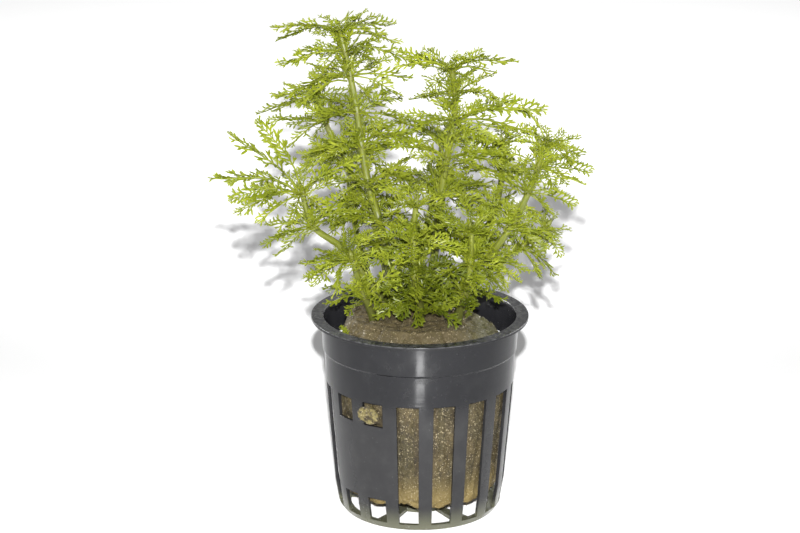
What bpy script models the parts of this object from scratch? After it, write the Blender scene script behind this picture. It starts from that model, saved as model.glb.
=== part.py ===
# A potted giant ambulia, a finely leaved pond and aquarium plant.
#
# A bunch of shoots stands in a plug of rockwool, which sits in a slotted pot of
# black plastic. Every leaf ring that grows around a stem is one piece, and so is
# every stem. Lengths are in millimetres until a mesh is made, which is in metres.
# The origin is the middle of the pot's underside, Z is up and -Y is the front.

import math
import random

import bmesh
import bpy
from mathutils import Matrix, Vector
from mathutils.bvhtree import BVHTree

MM = 0.001

# Net pot
POT_HEIGHT = 51.0
RIM_RADIUS = 27.5
RIM_THICKNESS = 0.8
RIM_INNER_RADIUS = 24.5
RIM_FILLET = 0.3
WALL_THICKNESS = 0.9
BASE_THICKNESS = 1.0
BASE_FLAT_RADIUS = 19.7
BASE_FILLET = 0.3
# Least height of the wall's inner face above the top of the base
WALL_STEP = 0.4
HUB_RADIUS = 8.0
BASE_RING_RADIUS = 17.6
# Spokes join the hub to the ring of the base; angles are in degrees from the front
SPOKE_COUNT = 5
SPOKE_FIRST = -34.2
SPOKE_HALF_ANGLE = 7.3
COLLAR_BOTTOM = 42.0
# Outer radius of the wall at a few heights, from the foot to below the collar
WALL_OUTLINE = ((0.6, 20.4), (1.8, 20.8), (8.0, 21.75), (28.0, 23.4), (34.0, 23.85), (42.0, 24.2))
COLLAR_FOOT = (42.5, 24.6)
COLLAR_HEAD = (POT_HEIGHT - RIM_THICKNESS, 24.95)
SLOT_COUNT = 16
SLOT_FIRST = -7.8
SLOT_HALF_ANGLE = 6.75
SLOT_BOTTOM = 1.8
SLOT_TOP = 34.0
# Two neighbouring slots are closed by a plain panel between these heights
PANEL_BOTTOM = 8.0
PANEL_TOP = 28.0
PANEL_SLOTS = (14, 15)

# Rockwool plug
GAP = 0.3
PLUG_BOTTOM = 5.6
PLUG_TOP = 52.6
PLUG_POINTS = 28
# Rows up the side: share of the height, and share of the full radius
PLUG_ROWS = ((0.0, 0.95), (0.05, 0.985), (0.45, 1.0), (0.86, 1.0), (0.945, 0.97), (1.0, 0.86))
PLUG_TORN_BY = 0.6
PLUG_HOLLOW = 0.8
PLUG_CROWN = 0.8
# Flat sides cut into the round plug: direction from the front in degrees, distance
# from the middle, and the height from which the plug is cut
PLUG_CUTS = ((-93.0, 19.2, 42.0), (137.0, 14.6, 0.0), (180.0, 15.5, 0.0), (-143.0, 18.0, 0.0))
# The top falls away to the right from this X, down to the right edge
PLUG_FALL_FROM = 9.0
PLUG_FALL_SLOPE = 0.42
PLUG_FALL_ROWS = 0.5
# Wool that bulges out of one slot and swells over the rib beside it. Its sections
# run outwards: distance past the wall, angles at left and right, half height.
TUFT_HEIGHT = 31.1
TUFT_CORNERS = 8
TUFT_SQUARENESS = 0.6
TUFT_SECTIONS = (
    (-3.2, -36.2, -24.4, 2.0),
    (0.3, -36.2, -24.4, 2.5),
    (0.45, -40.0, -24.0, 2.8),
    (1.45, -40.0, -24.0, 2.5),
    (2.2, -35.0, -28.0, 1.1),
)

# Shoots
STEM_SIDES = 6
STEM_FOOT_RADIUS = 1.35
STEM_TIP_RADIUS = 0.7
STEM_FOOT_POINT = 0.5
STEM_TIP_POINT = 0.8
STEM_STEP = 10.5
CURVE_STEPS = 10
COLLAR_GAP = 0.45
COLLAR_WALL = 0.7
COLLAR_HALF_HEIGHT = 0.42
# Widest angle in degrees that one side of the collar is reckoned for
COLLAR_WIDEST = 110.0
LEAF_HALF_WIDTH = 0.17
LEAF_HALF_THICKNESS = 0.24
LEAF_WIDEST_AT = 0.6
LEAF_ARCH = 0.07
# Spread of the leaves that fill a ring: share of the gap, degrees, share of the
# length, and degrees that a blade is banked by
TURN_SPREAD = 0.06
RISE_SPREAD = 9.0
LENGTH_SPREAD = 0.14
BANK_SPREAD = 14.0
# A leaf gives way to its neighbours by a turn and a change of rise in degrees, and
# by growing to only a share of its length
YIELD_TURNS = (0, 6, -6, 12, -12)
YIELD_RISES = (0, 7, -7, 14, -14, 22, -22)
YIELD_SHARES = (1.0, 0.88, 0.75, 0.6)
YIELD_DEGREES_AS_ONE = 8.0
YIELD_SHARE_WEIGHT = 9.0
# Leaves of one ring meet at their roots, so only their outer parts are kept apart
OUTER_PART = 0.5
OUTER_PART_STANDING = 0.3
SEED = 7


def clear_scene():
    """Start from an empty scene."""
    for thing in list(bpy.data.objects):
        bpy.data.objects.remove(thing, do_unlink=True)


def plain_material(name, color, roughness, metallic=0.0):
    """A material of one colour for a sub-part."""
    material = bpy.data.materials.new(name)
    material.use_nodes = True
    shader = material.node_tree.nodes["Principled BSDF"]
    shader.inputs["Base Color"].default_value = (*color, 1.0)
    shader.inputs["Roughness"].default_value = roughness
    shader.inputs["Metallic"].default_value = metallic
    return material


def make_object(name, bm, material, place=Vector((0, 0, 0)), parent=None, smooth_angle=None):
    """Turn a mesh in millimetres, drawn around its own origin, into an object."""
    bmesh.ops.recalc_face_normals(bm, faces=bm.faces)
    bmesh.ops.scale(bm, vec=(MM, MM, MM), verts=bm.verts)
    mesh = bpy.data.meshes.new(name)
    bm.to_mesh(mesh)
    bm.free()
    if smooth_angle is not None:
        mesh.shade_smooth()
        mesh.set_sharp_from_angle(angle=math.radians(smooth_angle))
    mesh.materials.append(material)
    thing = bpy.data.objects.new(name, mesh)
    bpy.context.collection.objects.link(thing)
    thing.location = place * MM
    thing.parent = parent
    return thing


def around(angle, radius, height):
    """Point at an angle in degrees from the front, positive towards +X."""
    turn = math.radians(angle)
    return Vector((radius * math.sin(turn), -radius * math.cos(turn), height))


def along(table, value):
    """Read a table of (value, result) pairs, straight between its rows."""
    low = table[0]
    for high in table[1:]:
        if value <= high[0]:
            share = (value - low[0]) / (high[0] - low[0])
            return low[1] + share * (high[1] - low[1])
        low = high
    return low[1]


# Net pot: one moulding, drawn as a sheet of cells with a front and a back.
# Rows of cells run from the middle of the base to the edge of the flange, and
# three columns, two for a slot and one for a rib, are repeated round the pot.

def pot_outlines():
    """Outer and inner (radius, height) at each border between rows."""
    rows = [((HUB_RADIUS, 0.0), (HUB_RADIUS, BASE_THICKNESS))]
    rows.append(((BASE_RING_RADIUS, 0.0), (BASE_RING_RADIUS, BASE_THICKNESS)))
    rows.append(((BASE_FLAT_RADIUS, 0.0), (BASE_FLAT_RADIUS - BASE_FILLET, BASE_THICKNESS)))
    heights = [SLOT_BOTTOM, PANEL_BOTTOM, PANEL_TOP, SLOT_TOP, COLLAR_BOTTOM]
    for height in heights:
        radius = along(WALL_OUTLINE, height)
        inner_height = max(height, BASE_THICKNESS + WALL_STEP)
        rows.append(((radius, height), (radius - WALL_THICKNESS, inner_height)))
    rows.append((COLLAR_FOOT[::-1], (COLLAR_FOOT[1] - WALL_THICKNESS, COLLAR_FOOT[0])))
    inside = COLLAR_HEAD[1] - WALL_THICKNESS
    rows.append((COLLAR_HEAD[::-1], (inside, COLLAR_HEAD[0])))
    rows.append(((COLLAR_HEAD[1] + RIM_FILLET, COLLAR_HEAD[0]), (RIM_INNER_RADIUS, POT_HEIGHT)))
    rows.append(((RIM_RADIUS, COLLAR_HEAD[0]), (RIM_RADIUS, POT_HEIGHT)))
    return rows


def pot_columns():
    """Angles of the borders between columns: slot, slot, rib, and so on."""
    pitch = 360.0 / SLOT_COUNT
    borders = []
    for slot in range(SLOT_COUNT):
        middle = SLOT_FIRST + pitch * slot
        borders += [middle - SLOT_HALF_ANGLE, middle, middle + SLOT_HALF_ANGLE]
    return borders


def column_is_spoke(slot, part):
    """Whether the middle of a column lies in one of the spokes."""
    slot_pitch = 360.0 / SLOT_COUNT
    spoke_pitch = 360.0 / SPOKE_COUNT
    from_slot = (-SLOT_HALF_ANGLE / 2, SLOT_HALF_ANGLE / 2, slot_pitch / 2)[part]
    past_spoke = (SLOT_FIRST + slot_pitch * slot + from_slot - SPOKE_FIRST) % spoke_pitch
    return min(past_spoke, spoke_pitch - past_spoke) < SPOKE_HALF_ANGLE


def cell_is_solid(low, high, column):
    """Whether the cell between two outlines has plastic in it."""
    slot, part = divmod(column, 3)
    is_rib = part == 2
    if high[1] == 0.0 and HUB_RADIUS <= low[0] < BASE_RING_RADIUS:
        return column_is_spoke(slot, part)
    if SLOT_BOTTOM <= low[1] < SLOT_TOP and not is_rib:
        behind_panel = PANEL_BOTTOM <= low[1] < PANEL_TOP
        return behind_panel and slot in PANEL_SLOTS
    return True


def build_pot(material, parent):
    """Sew the cells' fronts, backs and edges into one closed surface."""
    bm = bmesh.new()
    outlines = pot_outlines()
    angles = pot_columns()
    count = len(angles)
    front = [[bm.verts.new(around(a, *outer)) for a in angles] for outer, _ in outlines]
    back = [[bm.verts.new(around(a, *inner)) for a in angles] for _, inner in outlines]
    solid = []
    for low, high in zip(outlines, outlines[1:]):
        solid.append([cell_is_solid(low[0], high[0], c) for c in range(count)])

    def wall(row_a, column_a, row_b, column_b):
        """Close the edge of a cell from its front to its back."""
        a, b = (row_a, column_a % count), (row_b, column_b % count)
        corners = (front[a[0]][a[1]], front[b[0]][b[1]], back[b[0]][b[1]], back[a[0]][a[1]])
        bm.faces.new(corners)

    for row, cells in enumerate(solid):
        for column, filled in enumerate(cells):
            if not filled:
                continue
            after = (column + 1) % count
            for side in (front, back):
                bm.faces.new((side[row][column], side[row][after],
                              side[row + 1][after], side[row + 1][column]))
            if not cells[column - 1]:
                wall(row, column, row + 1, column)
            if not cells[after]:
                wall(row, after, row + 1, after)
            if row > 0 and not solid[row - 1][column]:
                wall(row, column, row, after)
            if row + 1 < len(solid) and not solid[row + 1][column]:
                wall(row + 1, column, row + 1, after)
    # The hub closes the middle of the base, and a band closes the flange's edge
    for side, height in ((front, 0.0), (back, BASE_THICKNESS)):
        pole = bm.verts.new((0.0, 0.0, height))
        for column in range(count):
            bm.faces.new((pole, side[0][column], side[0][(column + 1) % count]))
    for column in range(count):
        if not solid[0][column]:
            wall(0, column, 0, column + 1)
        wall(len(solid), column, len(solid), column + 1)
    return make_object("net_pot", bm, material, parent=parent, smooth_angle=35.0)


# Rockwool plug: round where it presses against the pot, with flat cut sides,
# a torn foot and a top that falls away to the right.

def plug_radius(angle, height):
    """Radius of the full plug in a direction, held in by the wall and the cut sides."""
    radius = along(WALL_OUTLINE, height) - WALL_THICKNESS - GAP
    if height > COLLAR_BOTTOM:
        radius = COLLAR_FOOT[1] - WALL_THICKNESS - 2 * GAP
    for direction, distance, cut_from in PLUG_CUTS:
        facing = math.cos(math.radians(angle - direction))
        if facing > 0 and height >= cut_from:
            radius = min(radius, distance / facing)
    return radius


def plug_top_height(point):
    """Height of the plug's top edge above a point."""
    fall = max(0.0, point.x - PLUG_FALL_FROM) * PLUG_FALL_SLOPE
    return PLUG_TOP - fall


def build_plug(rng, material, parent):
    """Stack rings of points from the torn foot to the top, and close both ends."""
    bm = bmesh.new()
    angles = [360.0 * i / PLUG_POINTS for i in range(PLUG_POINTS)]
    rings = []
    for share, width in PLUG_ROWS:
        ring = []
        for angle in angles:
            torn = rng.uniform(-PLUG_TORN_BY, PLUG_TORN_BY) if share == 0.0 else 0.0
            level = PLUG_BOTTOM + share * (PLUG_TOP - PLUG_BOTTOM)
            point = around(angle, plug_radius(angle, level) * width, level)
            if share > PLUG_FALL_ROWS:
                top = plug_top_height(point)
                point.z = PLUG_BOTTOM + share * (top - PLUG_BOTTOM)
            point.z += torn
            ring.append(bm.verts.new(point))
        rings.append(ring)
    foot = bm.verts.new((0, 0, PLUG_BOTTOM + PLUG_HOLLOW))
    crown = bm.verts.new((0, 0, PLUG_TOP + PLUG_CROWN))
    rings.append([bm.verts.new(v.co.lerp(crown.co, 0.5)) for v in rings[-1]])
    for low, high in zip(rings, rings[1:]):
        for i in range(PLUG_POINTS):
            after = (i + 1) % PLUG_POINTS
            bm.faces.new((low[i], low[after], high[after], high[i]))
    for i in range(PLUG_POINTS):
        after = (i + 1) % PLUG_POINTS
        bm.faces.new((foot, rings[0][after], rings[0][i]))
        bm.faces.new((crown, rings[-1][i], rings[-1][after]))
    return make_object("rockwool_plug", bm, material, parent=parent, smooth_angle=50.0)


def build_tuft():
    """Wool that bulges out of one slot, as rings of points with rounded corners."""
    bm = bmesh.new()
    wall = along(WALL_OUTLINE, TUFT_HEIGHT)
    rings = []
    for past_wall, left, right, half_height in TUFT_SECTIONS:
        ring = []
        for i in range(TUFT_CORNERS):
            turn = math.tau * i / TUFT_CORNERS
            across, up = math.cos(turn), math.sin(turn)
            bulge = min(1.0, 1.0 / max(abs(across), abs(up)) ** TUFT_SQUARENESS)
            angle = (left + right) / 2 + (right - left) / 2 * bulge * across
            height = TUFT_HEIGHT + half_height * bulge * up
            ring.append(bm.verts.new(around(angle, wall + past_wall, height)))
        rings.append(ring)
    for inner, outer in zip(rings, rings[1:]):
        for i in range(TUFT_CORNERS):
            after = (i + 1) % TUFT_CORNERS
            bm.faces.new((inner[i], inner[after], outer[after], outer[i]))
    bm.faces.new(rings[0])
    bm.faces.new(rings[-1])
    return bm


# Stems: tapered tubes on a smooth way through a few points.

def smooth_way(points):
    """Points a few millimetres apart on a curve through the given ones."""
    points = [Vector(p) for p in points]
    ends = [2 * points[0] - points[1], *points, 2 * points[-1] - points[-2]]
    fine = []
    for a, b, c, d in zip(ends, ends[1:], ends[2:], ends[3:]):
        for step in range(CURVE_STEPS):
            t = step / CURVE_STEPS
            fine.append(0.5 * (2 * b + (c - a) * t + (2 * a - 5 * b + 4 * c - d) * t * t
                               + (3 * b - a - 3 * c + d) * t ** 3))
    fine.append(points[-1])
    length = sum((q - p).length for p, q in zip(fine, fine[1:]))
    count = max(3, round(length / STEM_STEP))
    way = [fine[0]]
    walked = 0.0
    for p, q in zip(fine, fine[1:]):
        walked += (q - p).length
        if walked >= length / count * len(way) and len(way) < count:
            way.append(q)
    way.append(fine[-1])
    return way


def stem_radius(way, index):
    """Radius of a stem at one of the points of its way."""
    share = index / (len(way) - 1)
    return STEM_FOOT_RADIUS + (STEM_TIP_RADIUS - STEM_FOOT_RADIUS) * share


def tube_shape(way, extra=0.0):
    """Vertices and faces of a closed tube with a pointed cap at each end."""
    verts = []
    side = Vector((1, 0, 0))
    for index, point in enumerate(way):
        before = way[max(0, index - 1)]
        after = way[min(len(way) - 1, index + 1)]
        forward = (after - before).normalized()
        side = (side - forward * side.dot(forward)).normalized()
        across = forward.cross(side)
        radius = stem_radius(way, index) + extra
        for i in range(STEM_SIDES):
            turn = math.tau * i / STEM_SIDES
            verts.append(point + radius * (side * math.cos(turn) + across * math.sin(turn)))
    faces = []
    for ring in range(len(way) - 1):
        for i in range(STEM_SIDES):
            a = ring * STEM_SIDES + i
            b = ring * STEM_SIDES + (i + 1) % STEM_SIDES
            faces.append((a, b, b + STEM_SIDES, a + STEM_SIDES))
    foot = way[0] - (way[1] - way[0]).normalized() * (STEM_FOOT_POINT + extra)
    tip = way[-1] + (way[-1] - way[-2]).normalized() * (STEM_TIP_POINT + extra)
    caps = ((0, foot), (len(way) - 1, tip))
    for ring, point in caps:
        verts.append(point)
        for i in range(STEM_SIDES):
            a = ring * STEM_SIDES + i
            b = ring * STEM_SIDES + (i + 1) % STEM_SIDES
            faces.append((a, b, len(verts) - 1))
    return verts, faces


def fill_mesh(verts, faces, origin=Vector((0, 0, 0))):
    """A mesh drawn around its own origin."""
    bm = bmesh.new()
    made = [bm.verts.new(v - origin) for v in verts]
    for face in faces:
        bm.faces.new([made[i] for i in face])
    return bm


# Shoots: the way of each stem, and its leaf rings from the top down. A ring is
# (height, number of leaves, leaf length, rise in degrees, picked leaves), and a
# picked leaf is (compass, rise, length), with the compass from +X towards +Y.

SHOOTS = {
    "tall": (
        ((-5.2, -2, 43), (-5.8, -2, 55), (-8, -1.5, 65), (-10.5, -0.5, 77), (-13.5, 0.5, 87),
         (-15.6, 2, 102), (-17.1, 3, 111.6), (-19.1, 4, 118), (-20.2, 5, 124)),
        ((122.6, 8, 9, 4, ((180, 5, 15.2), (-163, -4, 14.5), (70, 30, 7), (32, 13, 10),
                           (4, 6, 12), (-24, -9, 15), (124, 18, 8))),
         (117.4, 8, 11, 6, ((-165, -7, 15.7), (155, -3, 12), (-120, -23, 10), (-8, -7, 15),
                            (47, 0, 8))),
         (111.5, 8, 13, 8, ((144, -3, 11), (-167, -14, 17.5), (13, -6, 13.8), (-30, -18, 12.6),
                            (77, 12, 9))),
         (102.4, 8, 13, 8, ((164, 10, 15), (-11, -8, 12), (-66, -18, 10), (40, 8, 12.5))),
         (94, 7, 13, 12, ()),
         (85, 6, 13, 12, ()),
         (76, 6, 12, 14, ()),
         (66, 6, 11, 14, ()))),
    "second": (
        ((1.2, 1, 43), (1.6, 1, 54), (4.2, 0, 70), (5.2, -0.5, 81), (6.6, -1, 92.5),
         (8.6, -1.5, 101.5), (8.4, -2, 108), (7.5, -2, 115.5)),
        ((114.2, 8, 9, 22, ((166, 19, 12.9), (-171, 10, 12.5), (8, 6, 14.8), (-20, 2, 9),
                            (53, 24, 7), (130, 22, 10))),
         (108.2, 7, 10, 10, ((-12, -12, 10), (135, 20, 9), (-162, -2, 10))),
         (101.2, 8, 14, 10, ((8, 7, 21.5), (30, 11, 17.4), (-14, 3, 18.5), (180, 7, 11))),
         (92, 7, 13, 12, ()),
         (82, 6, 13, 12, ()),
         (71, 6, 12, 14, ()))),
    "left": (
        ((-8.4, -5, 43), (-8.8, -5.2, 55), (-14.5, -7, 64), (-20, -8, 71.5), (-25.3, -9, 75.5),
         (-28.4, -9, 79.5), (-29.3, -8, 86)),
        ((84.7, 9, 15, 12, ((150, 55, 21.3), (176, 44, 22.8), (180, 12, 21.6), (-148, -24, 12.6),
                            (81, 50, 9), (-166, 0, 16.7), (35, 23, 10), (-59, -13, 12))),
         (76.8, 7, 10, 0, ((-159, -16, 12), (-132, -24, 12), (150, -6, 12.5))),
         (68.5, 7, 10, 0, ((-147, -28, 10.4), (-110, -36, 11.5), (178, -26, 10.5))))),
    "left_back": (
        ((-6.9, 4.2, 43), (-7.5, 4.4, 54), (-11.4, 8, 72.5), (-16.4, 10, 82.5), (-20.2, 11, 89.5),
         (-24.2, 12, 98.5), (-26.9, 12, 105.5)),
        ((104.4, 7, 8, 30, ((-167, -13, 13.5), (180, 6, 9), (140, 14, 9), (-14, 3, 8),
                            (99, 30, 8))),
         (98.2, 8, 9, 8, ((-141, -25, 11), (171, 2, 13), (42, 20, 8), (-30, -4, 8))),
         (89.5, 7, 12, 10, ()),
         (78, 6, 12, 10, ()))),
    "right": (
        ((5.2, -3.2, 43), (6.4, -3.4, 54), (14.4, -6, 64.7), (21.7, -8, 74.7), (26.7, -9, 85.7),
         (28.6, -9, 91), (31, -9, 98.5)),
        ((97.5, 8, 7, 28, ((50, 24, 6), (0, 17, 7), (-29, -7, 8.5), (-48, -16, 9.5),
                           (136, 38, 11), (95, 21, 7))),
         (91.5, 7, 9, 5, ((0, -1, 11.4), (-24, -12, 11.3), (-73, -24, 9.2), (38, 10, 10),
                          (145, 22, 8))),
         (85.2, 7, 10, 5, ((-11, -10, 10.5), (-65, -10, 9))),
         (76.5, 7, 11, 8, ()),
         (67.6, 8, 10, 5, ((-20, -4, 9), (-42, -16, 9.5), (-64, -27, 10), (-92, -30, 11.5),
                           (29, 13, 8.5))))),
    "mid_right": (
        ((5.0, 4.6, 43), (5.8, 5, 54), (12.8, 7, 63), (17.8, 9, 72), (20.3, 10, 80.5),
         (20.8, 11, 87), (20.5, 11, 93.5)),
        ((92, 7, 8.5, 25, ((131, 22, 8.5), (50, 25, 8.7), (-16, 8, 8), (-120, -13, 8))),
         (84.5, 7, 11, 10, ()),
         (75.5, 6, 11, 8, ()),
         (65.5, 6, 11, 8, ()))),
    "low_right": (
        ((9.2, 1, 43), (10.5, 1.2, 54), (17.5, 2.2, 61.6), (24, 3, 66.3), (28.5, 4, 69.3),
         (32.8, 5, 73.5)),
        ((72.4, 7, 5, 25, ((33, 33, 5), (-48, -50, 6.8), (-98, -11, 6.2), (125, 10, 6),
                           (0, 11, 5))),
         (67.4, 6, 8, 0, ((-28, -28, 9.5), (-63, -31, 8.5))))),
    "front_right": (
        ((8.6, -7, 43), (9.8, -8.6, 54), (11.5, -12, 62), (12.5, -15.5, 71), (12.2, -17.5, 79)),
        ((77.6, 7, 10, 20, ()),
         (68.5, 7, 11, 2, ()),
         (59.6, 7, 8.5, 14, ()))),
    "front_left": (
        ((-10.8, -7.6, 43), (-12, -10, 54), (-14.8, -13, 62), (-17, -14.6, 71)),
        ((69.4, 7, 10, 6, ((-150, -10, 11), (172, -6, 11))),
         (59.2, 7, 8.5, 16, ()))),
    "front": (
        ((0, -7.8, 43), (0, -8.6, 54), (-1.2, -12, 63), (-1.8, -14.5, 74), (-1, -15.5, 85)),
        ((83.6, 7, 10, 25, ()),
         (74, 7, 12, 5, ()),
         (65, 7, 11, -4, ()),
         (58, 7, 10, -6, ()))),
    "back": (
        ((-1.2, 8.2, 43), (-1, 8.8, 54), (1, 14, 66), (4, 19.5, 78), (6, 24, 91)),
        ((89.5, 8, 12, 20, ()),
         (78, 8, 13, 8, ()),
         (65, 7, 12, 5, ()))),
    "back_left": (
        ((-11.4, 5, 43), (-12.2, 5.6, 54), (-15, 12, 64), (-17.5, 18, 75), (-18.5, 22, 86)),
        ((84.5, 8, 12, 18, ()),
         (72.5, 7, 12, 6, ()))),
}


class Leaf:
    """One blade: a port on the collar, the side and direction it grows in, its length."""

    def __init__(self, ring, direction, length, bank):
        self.ring = ring
        self.direction = direction
        self.length = length
        self.bank = bank
        self.azimuth = math.degrees(math.atan2(direction.dot(ring.across), direction.dot(ring.side)))
        self.port = ()
        self.stands = False

    def shape(self, direction, length, extra=0.0, start=0.0):
        """Corners of the blade from a share of its length to its tip, as vertices and faces."""
        root = sum(self.port, Vector()) / 4
        up = (self.ring.forward - direction * self.ring.forward.dot(direction)).normalized()
        up.rotate(Matrix.Rotation(math.radians(self.bank), 3, direction))
        side = up.cross(direction)
        middle = root + direction * length * LEAF_WIDEST_AT + up * LEAF_ARCH * length
        wide = LEAF_HALF_WIDTH * length + extra
        thick = LEAF_HALF_THICKNESS + extra
        widest = [middle + side * wide * s + up * thick * u
                  for s, u in ((1, 1), (-1, 1), (-1, -1), (1, -1))]
        foot = [p.lerp(q, start) for p, q in zip(self.port, widest)]
        tip = root + direction * (length + extra)
        verts = [*foot, *widest, tip]
        faces = []
        for i in range(4):
            after = (i + 1) % 4
            faces.append((i, after, after + 4))
            faces.append((i, after + 4, i + 4))
            faces.append((i + 4, after + 4, 8))
        return verts, faces


class LeafRing:
    """The leaves around one node of a stem, and the collar that their bases form."""

    def __init__(self, name, way, row, rng):
        self.name = name
        height, count, length, rise, picks = row
        for index, (low, high) in enumerate(zip(way, way[1:])):
            if low.z <= height <= high.z:
                break
        self.place = low.lerp(high, (height - low.z) / (high.z - low.z))
        self.forward = (high - low).normalized()
        self.side = Vector((1, 0, 0))
        self.side = (self.side - self.forward * self.side.dot(self.forward)).normalized()
        self.across = self.forward.cross(self.side)
        self.stem_radius = stem_radius(way, index)
        self.leaves = []
        for compass, lift, reach in picks:
            self.leaves.append(Leaf(self, self.compass_direction(compass, lift), reach, 0.0))
        self.picked = list(self.leaves)
        self.corners = []
        self.fill_gaps(count, length, rise, rng)
        self.set_ports()

    def compass_direction(self, compass, lift):
        """Direction by the compass and the rise above level."""
        turn, climb = math.radians(compass), math.radians(lift)
        reach = math.cos(climb)
        return Vector((math.cos(turn) * reach, math.sin(turn) * reach, math.sin(climb)))

    def local_direction(self, azimuth, lift):
        """Direction around the stem and the rise towards its tip."""
        turn, climb = math.radians(azimuth), math.radians(lift)
        flat = self.side * math.cos(turn) + self.across * math.sin(turn)
        return flat * math.cos(climb) + self.forward * math.sin(climb)

    def fill_gaps(self, count, length, rise, rng):
        """Add leaves in the widest gaps until the ring has its number."""
        first = rng.uniform(0, 360)
        while len(self.leaves) < count:
            taken = sorted(leaf.azimuth for leaf in self.leaves)
            if taken:
                gaps = [(b - a, a) for a, b in zip(taken, taken[1:] + [taken[0] + 360])]
                width, start = max(gaps)
                missing = count - len(self.leaves)
                parts = 2 if missing < 3 or width < 180 else 3
                azimuth = start + width / parts
            else:
                width, azimuth = 360 / count, first
            azimuth += width * rng.uniform(-TURN_SPREAD, TURN_SPREAD)
            lift = rise + rng.uniform(-RISE_SPREAD, RISE_SPREAD)
            reach = length * rng.uniform(1 - LENGTH_SPREAD, 1 + LENGTH_SPREAD)
            bank = rng.uniform(-BANK_SPREAD, BANK_SPREAD)
            self.leaves.append(Leaf(self, self.local_direction(azimuth, lift), reach, bank))
        self.leaves.sort(key=lambda leaf: leaf.azimuth)

    def set_ports(self):
        """Place the collar's corners halfway between neighbouring leaves."""
        azimuths = [leaf.azimuth for leaf in self.leaves]
        borders = []
        for before, here in zip([azimuths[-1] - 360] + azimuths[:-1], azimuths):
            borders.append((before + here) / 2)
        widest = max(b - a for a, b in zip(borders, borders[1:] + [borders[0] + 360]))
        half_side = math.radians(min(widest, COLLAR_WIDEST) / 2)
        inner = (self.stem_radius + COLLAR_GAP) / math.cos(half_side)
        outer = inner + COLLAR_WALL
        rise = self.forward * COLLAR_HALF_HEIGHT
        for border in borders:
            flat = self.local_direction(border, 0)
            inside, outside = self.place + flat * inner, self.place + flat * outer
            self.corners.append((inside + rise, inside - rise, outside + rise, outside - rise))
        for i, leaf in enumerate(self.leaves):
            here = self.corners[i]
            after = self.corners[(i + 1) % len(self.corners)]
            leaf.port = (after[2], here[2], here[3], after[3])

    def shape(self):
        """Vertices and faces of the whole ring, in one closed surface."""
        verts = [point for corner in self.corners for point in corner]
        faces = []
        count = len(self.corners)
        for i, leaf in enumerate(self.leaves):
            a, b = 4 * i, 4 * ((i + 1) % count)
            faces.append((a, a + 1, b + 1, b))
            faces.append((a, b, b + 2, a + 2))
            faces.append((a + 1, a + 3, b + 3, b + 1))
            port = (b + 2, a + 2, a + 3, b + 3)
            if not leaf.stands:
                faces.append(port)
                continue
            blade, blade_faces = leaf.shape(leaf.direction, leaf.length)
            base = len(verts)
            verts += blade[4:]
            for face in blade_faces:
                faces.append(tuple(port[k] if k < 4 else base + k - 4 for k in face))
        return verts, faces


class Standing:
    """Everything that is in its place already, for leaves to grow clear of."""

    def __init__(self):
        self.things = []

    def add(self, owner, verts, faces):
        """Note a surface under the name of its owner."""
        middle = sum(verts, Vector()) / len(verts)
        reach = max((v - middle).length for v in verts)
        self.things.append((owner, BVHTree.FromPolygons(verts, faces), middle, reach))

    def meets(self, verts, faces, skip=(), only=None):
        """Whether the surface cuts a thing, leaving out some owners or all but one."""
        tree = BVHTree.FromPolygons(verts, faces)
        middle = sum(verts, Vector()) / len(verts)
        reach = max((v - middle).length for v in verts)
        for owner, other, place, size in self.things:
            if owner in skip or (only is not None and owner != only):
                continue
            if (place - middle).length < reach + size and tree.overlap(other):
                return True
        return False


def ways_to_yield():
    """Every (turn, change of rise, share of length), from the least to the most noticeable."""
    ways = []
    for turn in YIELD_TURNS:
        for rise in YIELD_RISES:
            for share in YIELD_SHARES:
                cost = (abs(turn) + abs(rise)) / YIELD_DEGREES_AS_ONE + (1 - share) * YIELD_SHARE_WEIGHT
                ways.append((cost, turn, rise, share))
    return [way[1:] for way in sorted(ways)]


def grow_leaf(leaf, standing):
    """Let the leaf take the first way that leaves room to its neighbours."""
    ring = leaf.ring
    sisters = f"{ring.name} outer parts"
    for turn, lift, share in ways_to_yield():
        direction = leaf.direction.copy()
        direction.rotate(Matrix.Rotation(math.radians(turn), 3, ring.forward))
        level = direction.cross(ring.forward).normalized()
        direction.rotate(Matrix.Rotation(math.radians(lift), 3, level))
        length = leaf.length * share
        whole = leaf.shape(direction, length, extra=GAP)
        if standing.meets(*whole, skip=(ring.name, sisters)):
            continue
        outer = leaf.shape(direction, length, extra=GAP, start=OUTER_PART)
        if standing.meets(*outer, only=sisters):
            continue
        leaf.direction, leaf.length, leaf.stands = direction, length, True
        standing.add(ring.name, *leaf.shape(direction, length))
        standing.add(sisters, *leaf.shape(direction, length, start=OUTER_PART_STANDING))
        return


def surface_of(thing):
    """Vertices in millimetres and faces of an object, where it stands."""
    depsgraph = bpy.context.evaluated_depsgraph_get()
    mesh = thing.evaluated_get(depsgraph).to_mesh()
    verts = [thing.matrix_world @ v.co / MM for v in mesh.vertices]
    faces = [tuple(p.vertices) for p in mesh.polygons]
    return verts, faces


def add_boolean(thing, name, bm, operation):
    """Join a helper to an object, or cut it away, and hide the helper."""
    helper = make_object(name, bm, thing.data.materials[0], parent=thing.parent)
    helper.hide_render = True
    helper.display_type = "WIRE"
    boolean = thing.modifiers.new(name, "BOOLEAN")
    boolean.operation = operation
    boolean.object = helper


def build_bores(ways):
    """The stems' feet, a gap wider all round, as one mesh of separate tubes."""
    verts = []
    faces = []
    for way in ways.values():
        base = len(verts)
        tube_verts, tube_faces = tube_shape(way, extra=GAP)
        verts += tube_verts
        faces += [tuple(base + i for i in face) for face in tube_faces]
    return fill_mesh(verts, faces)


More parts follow.
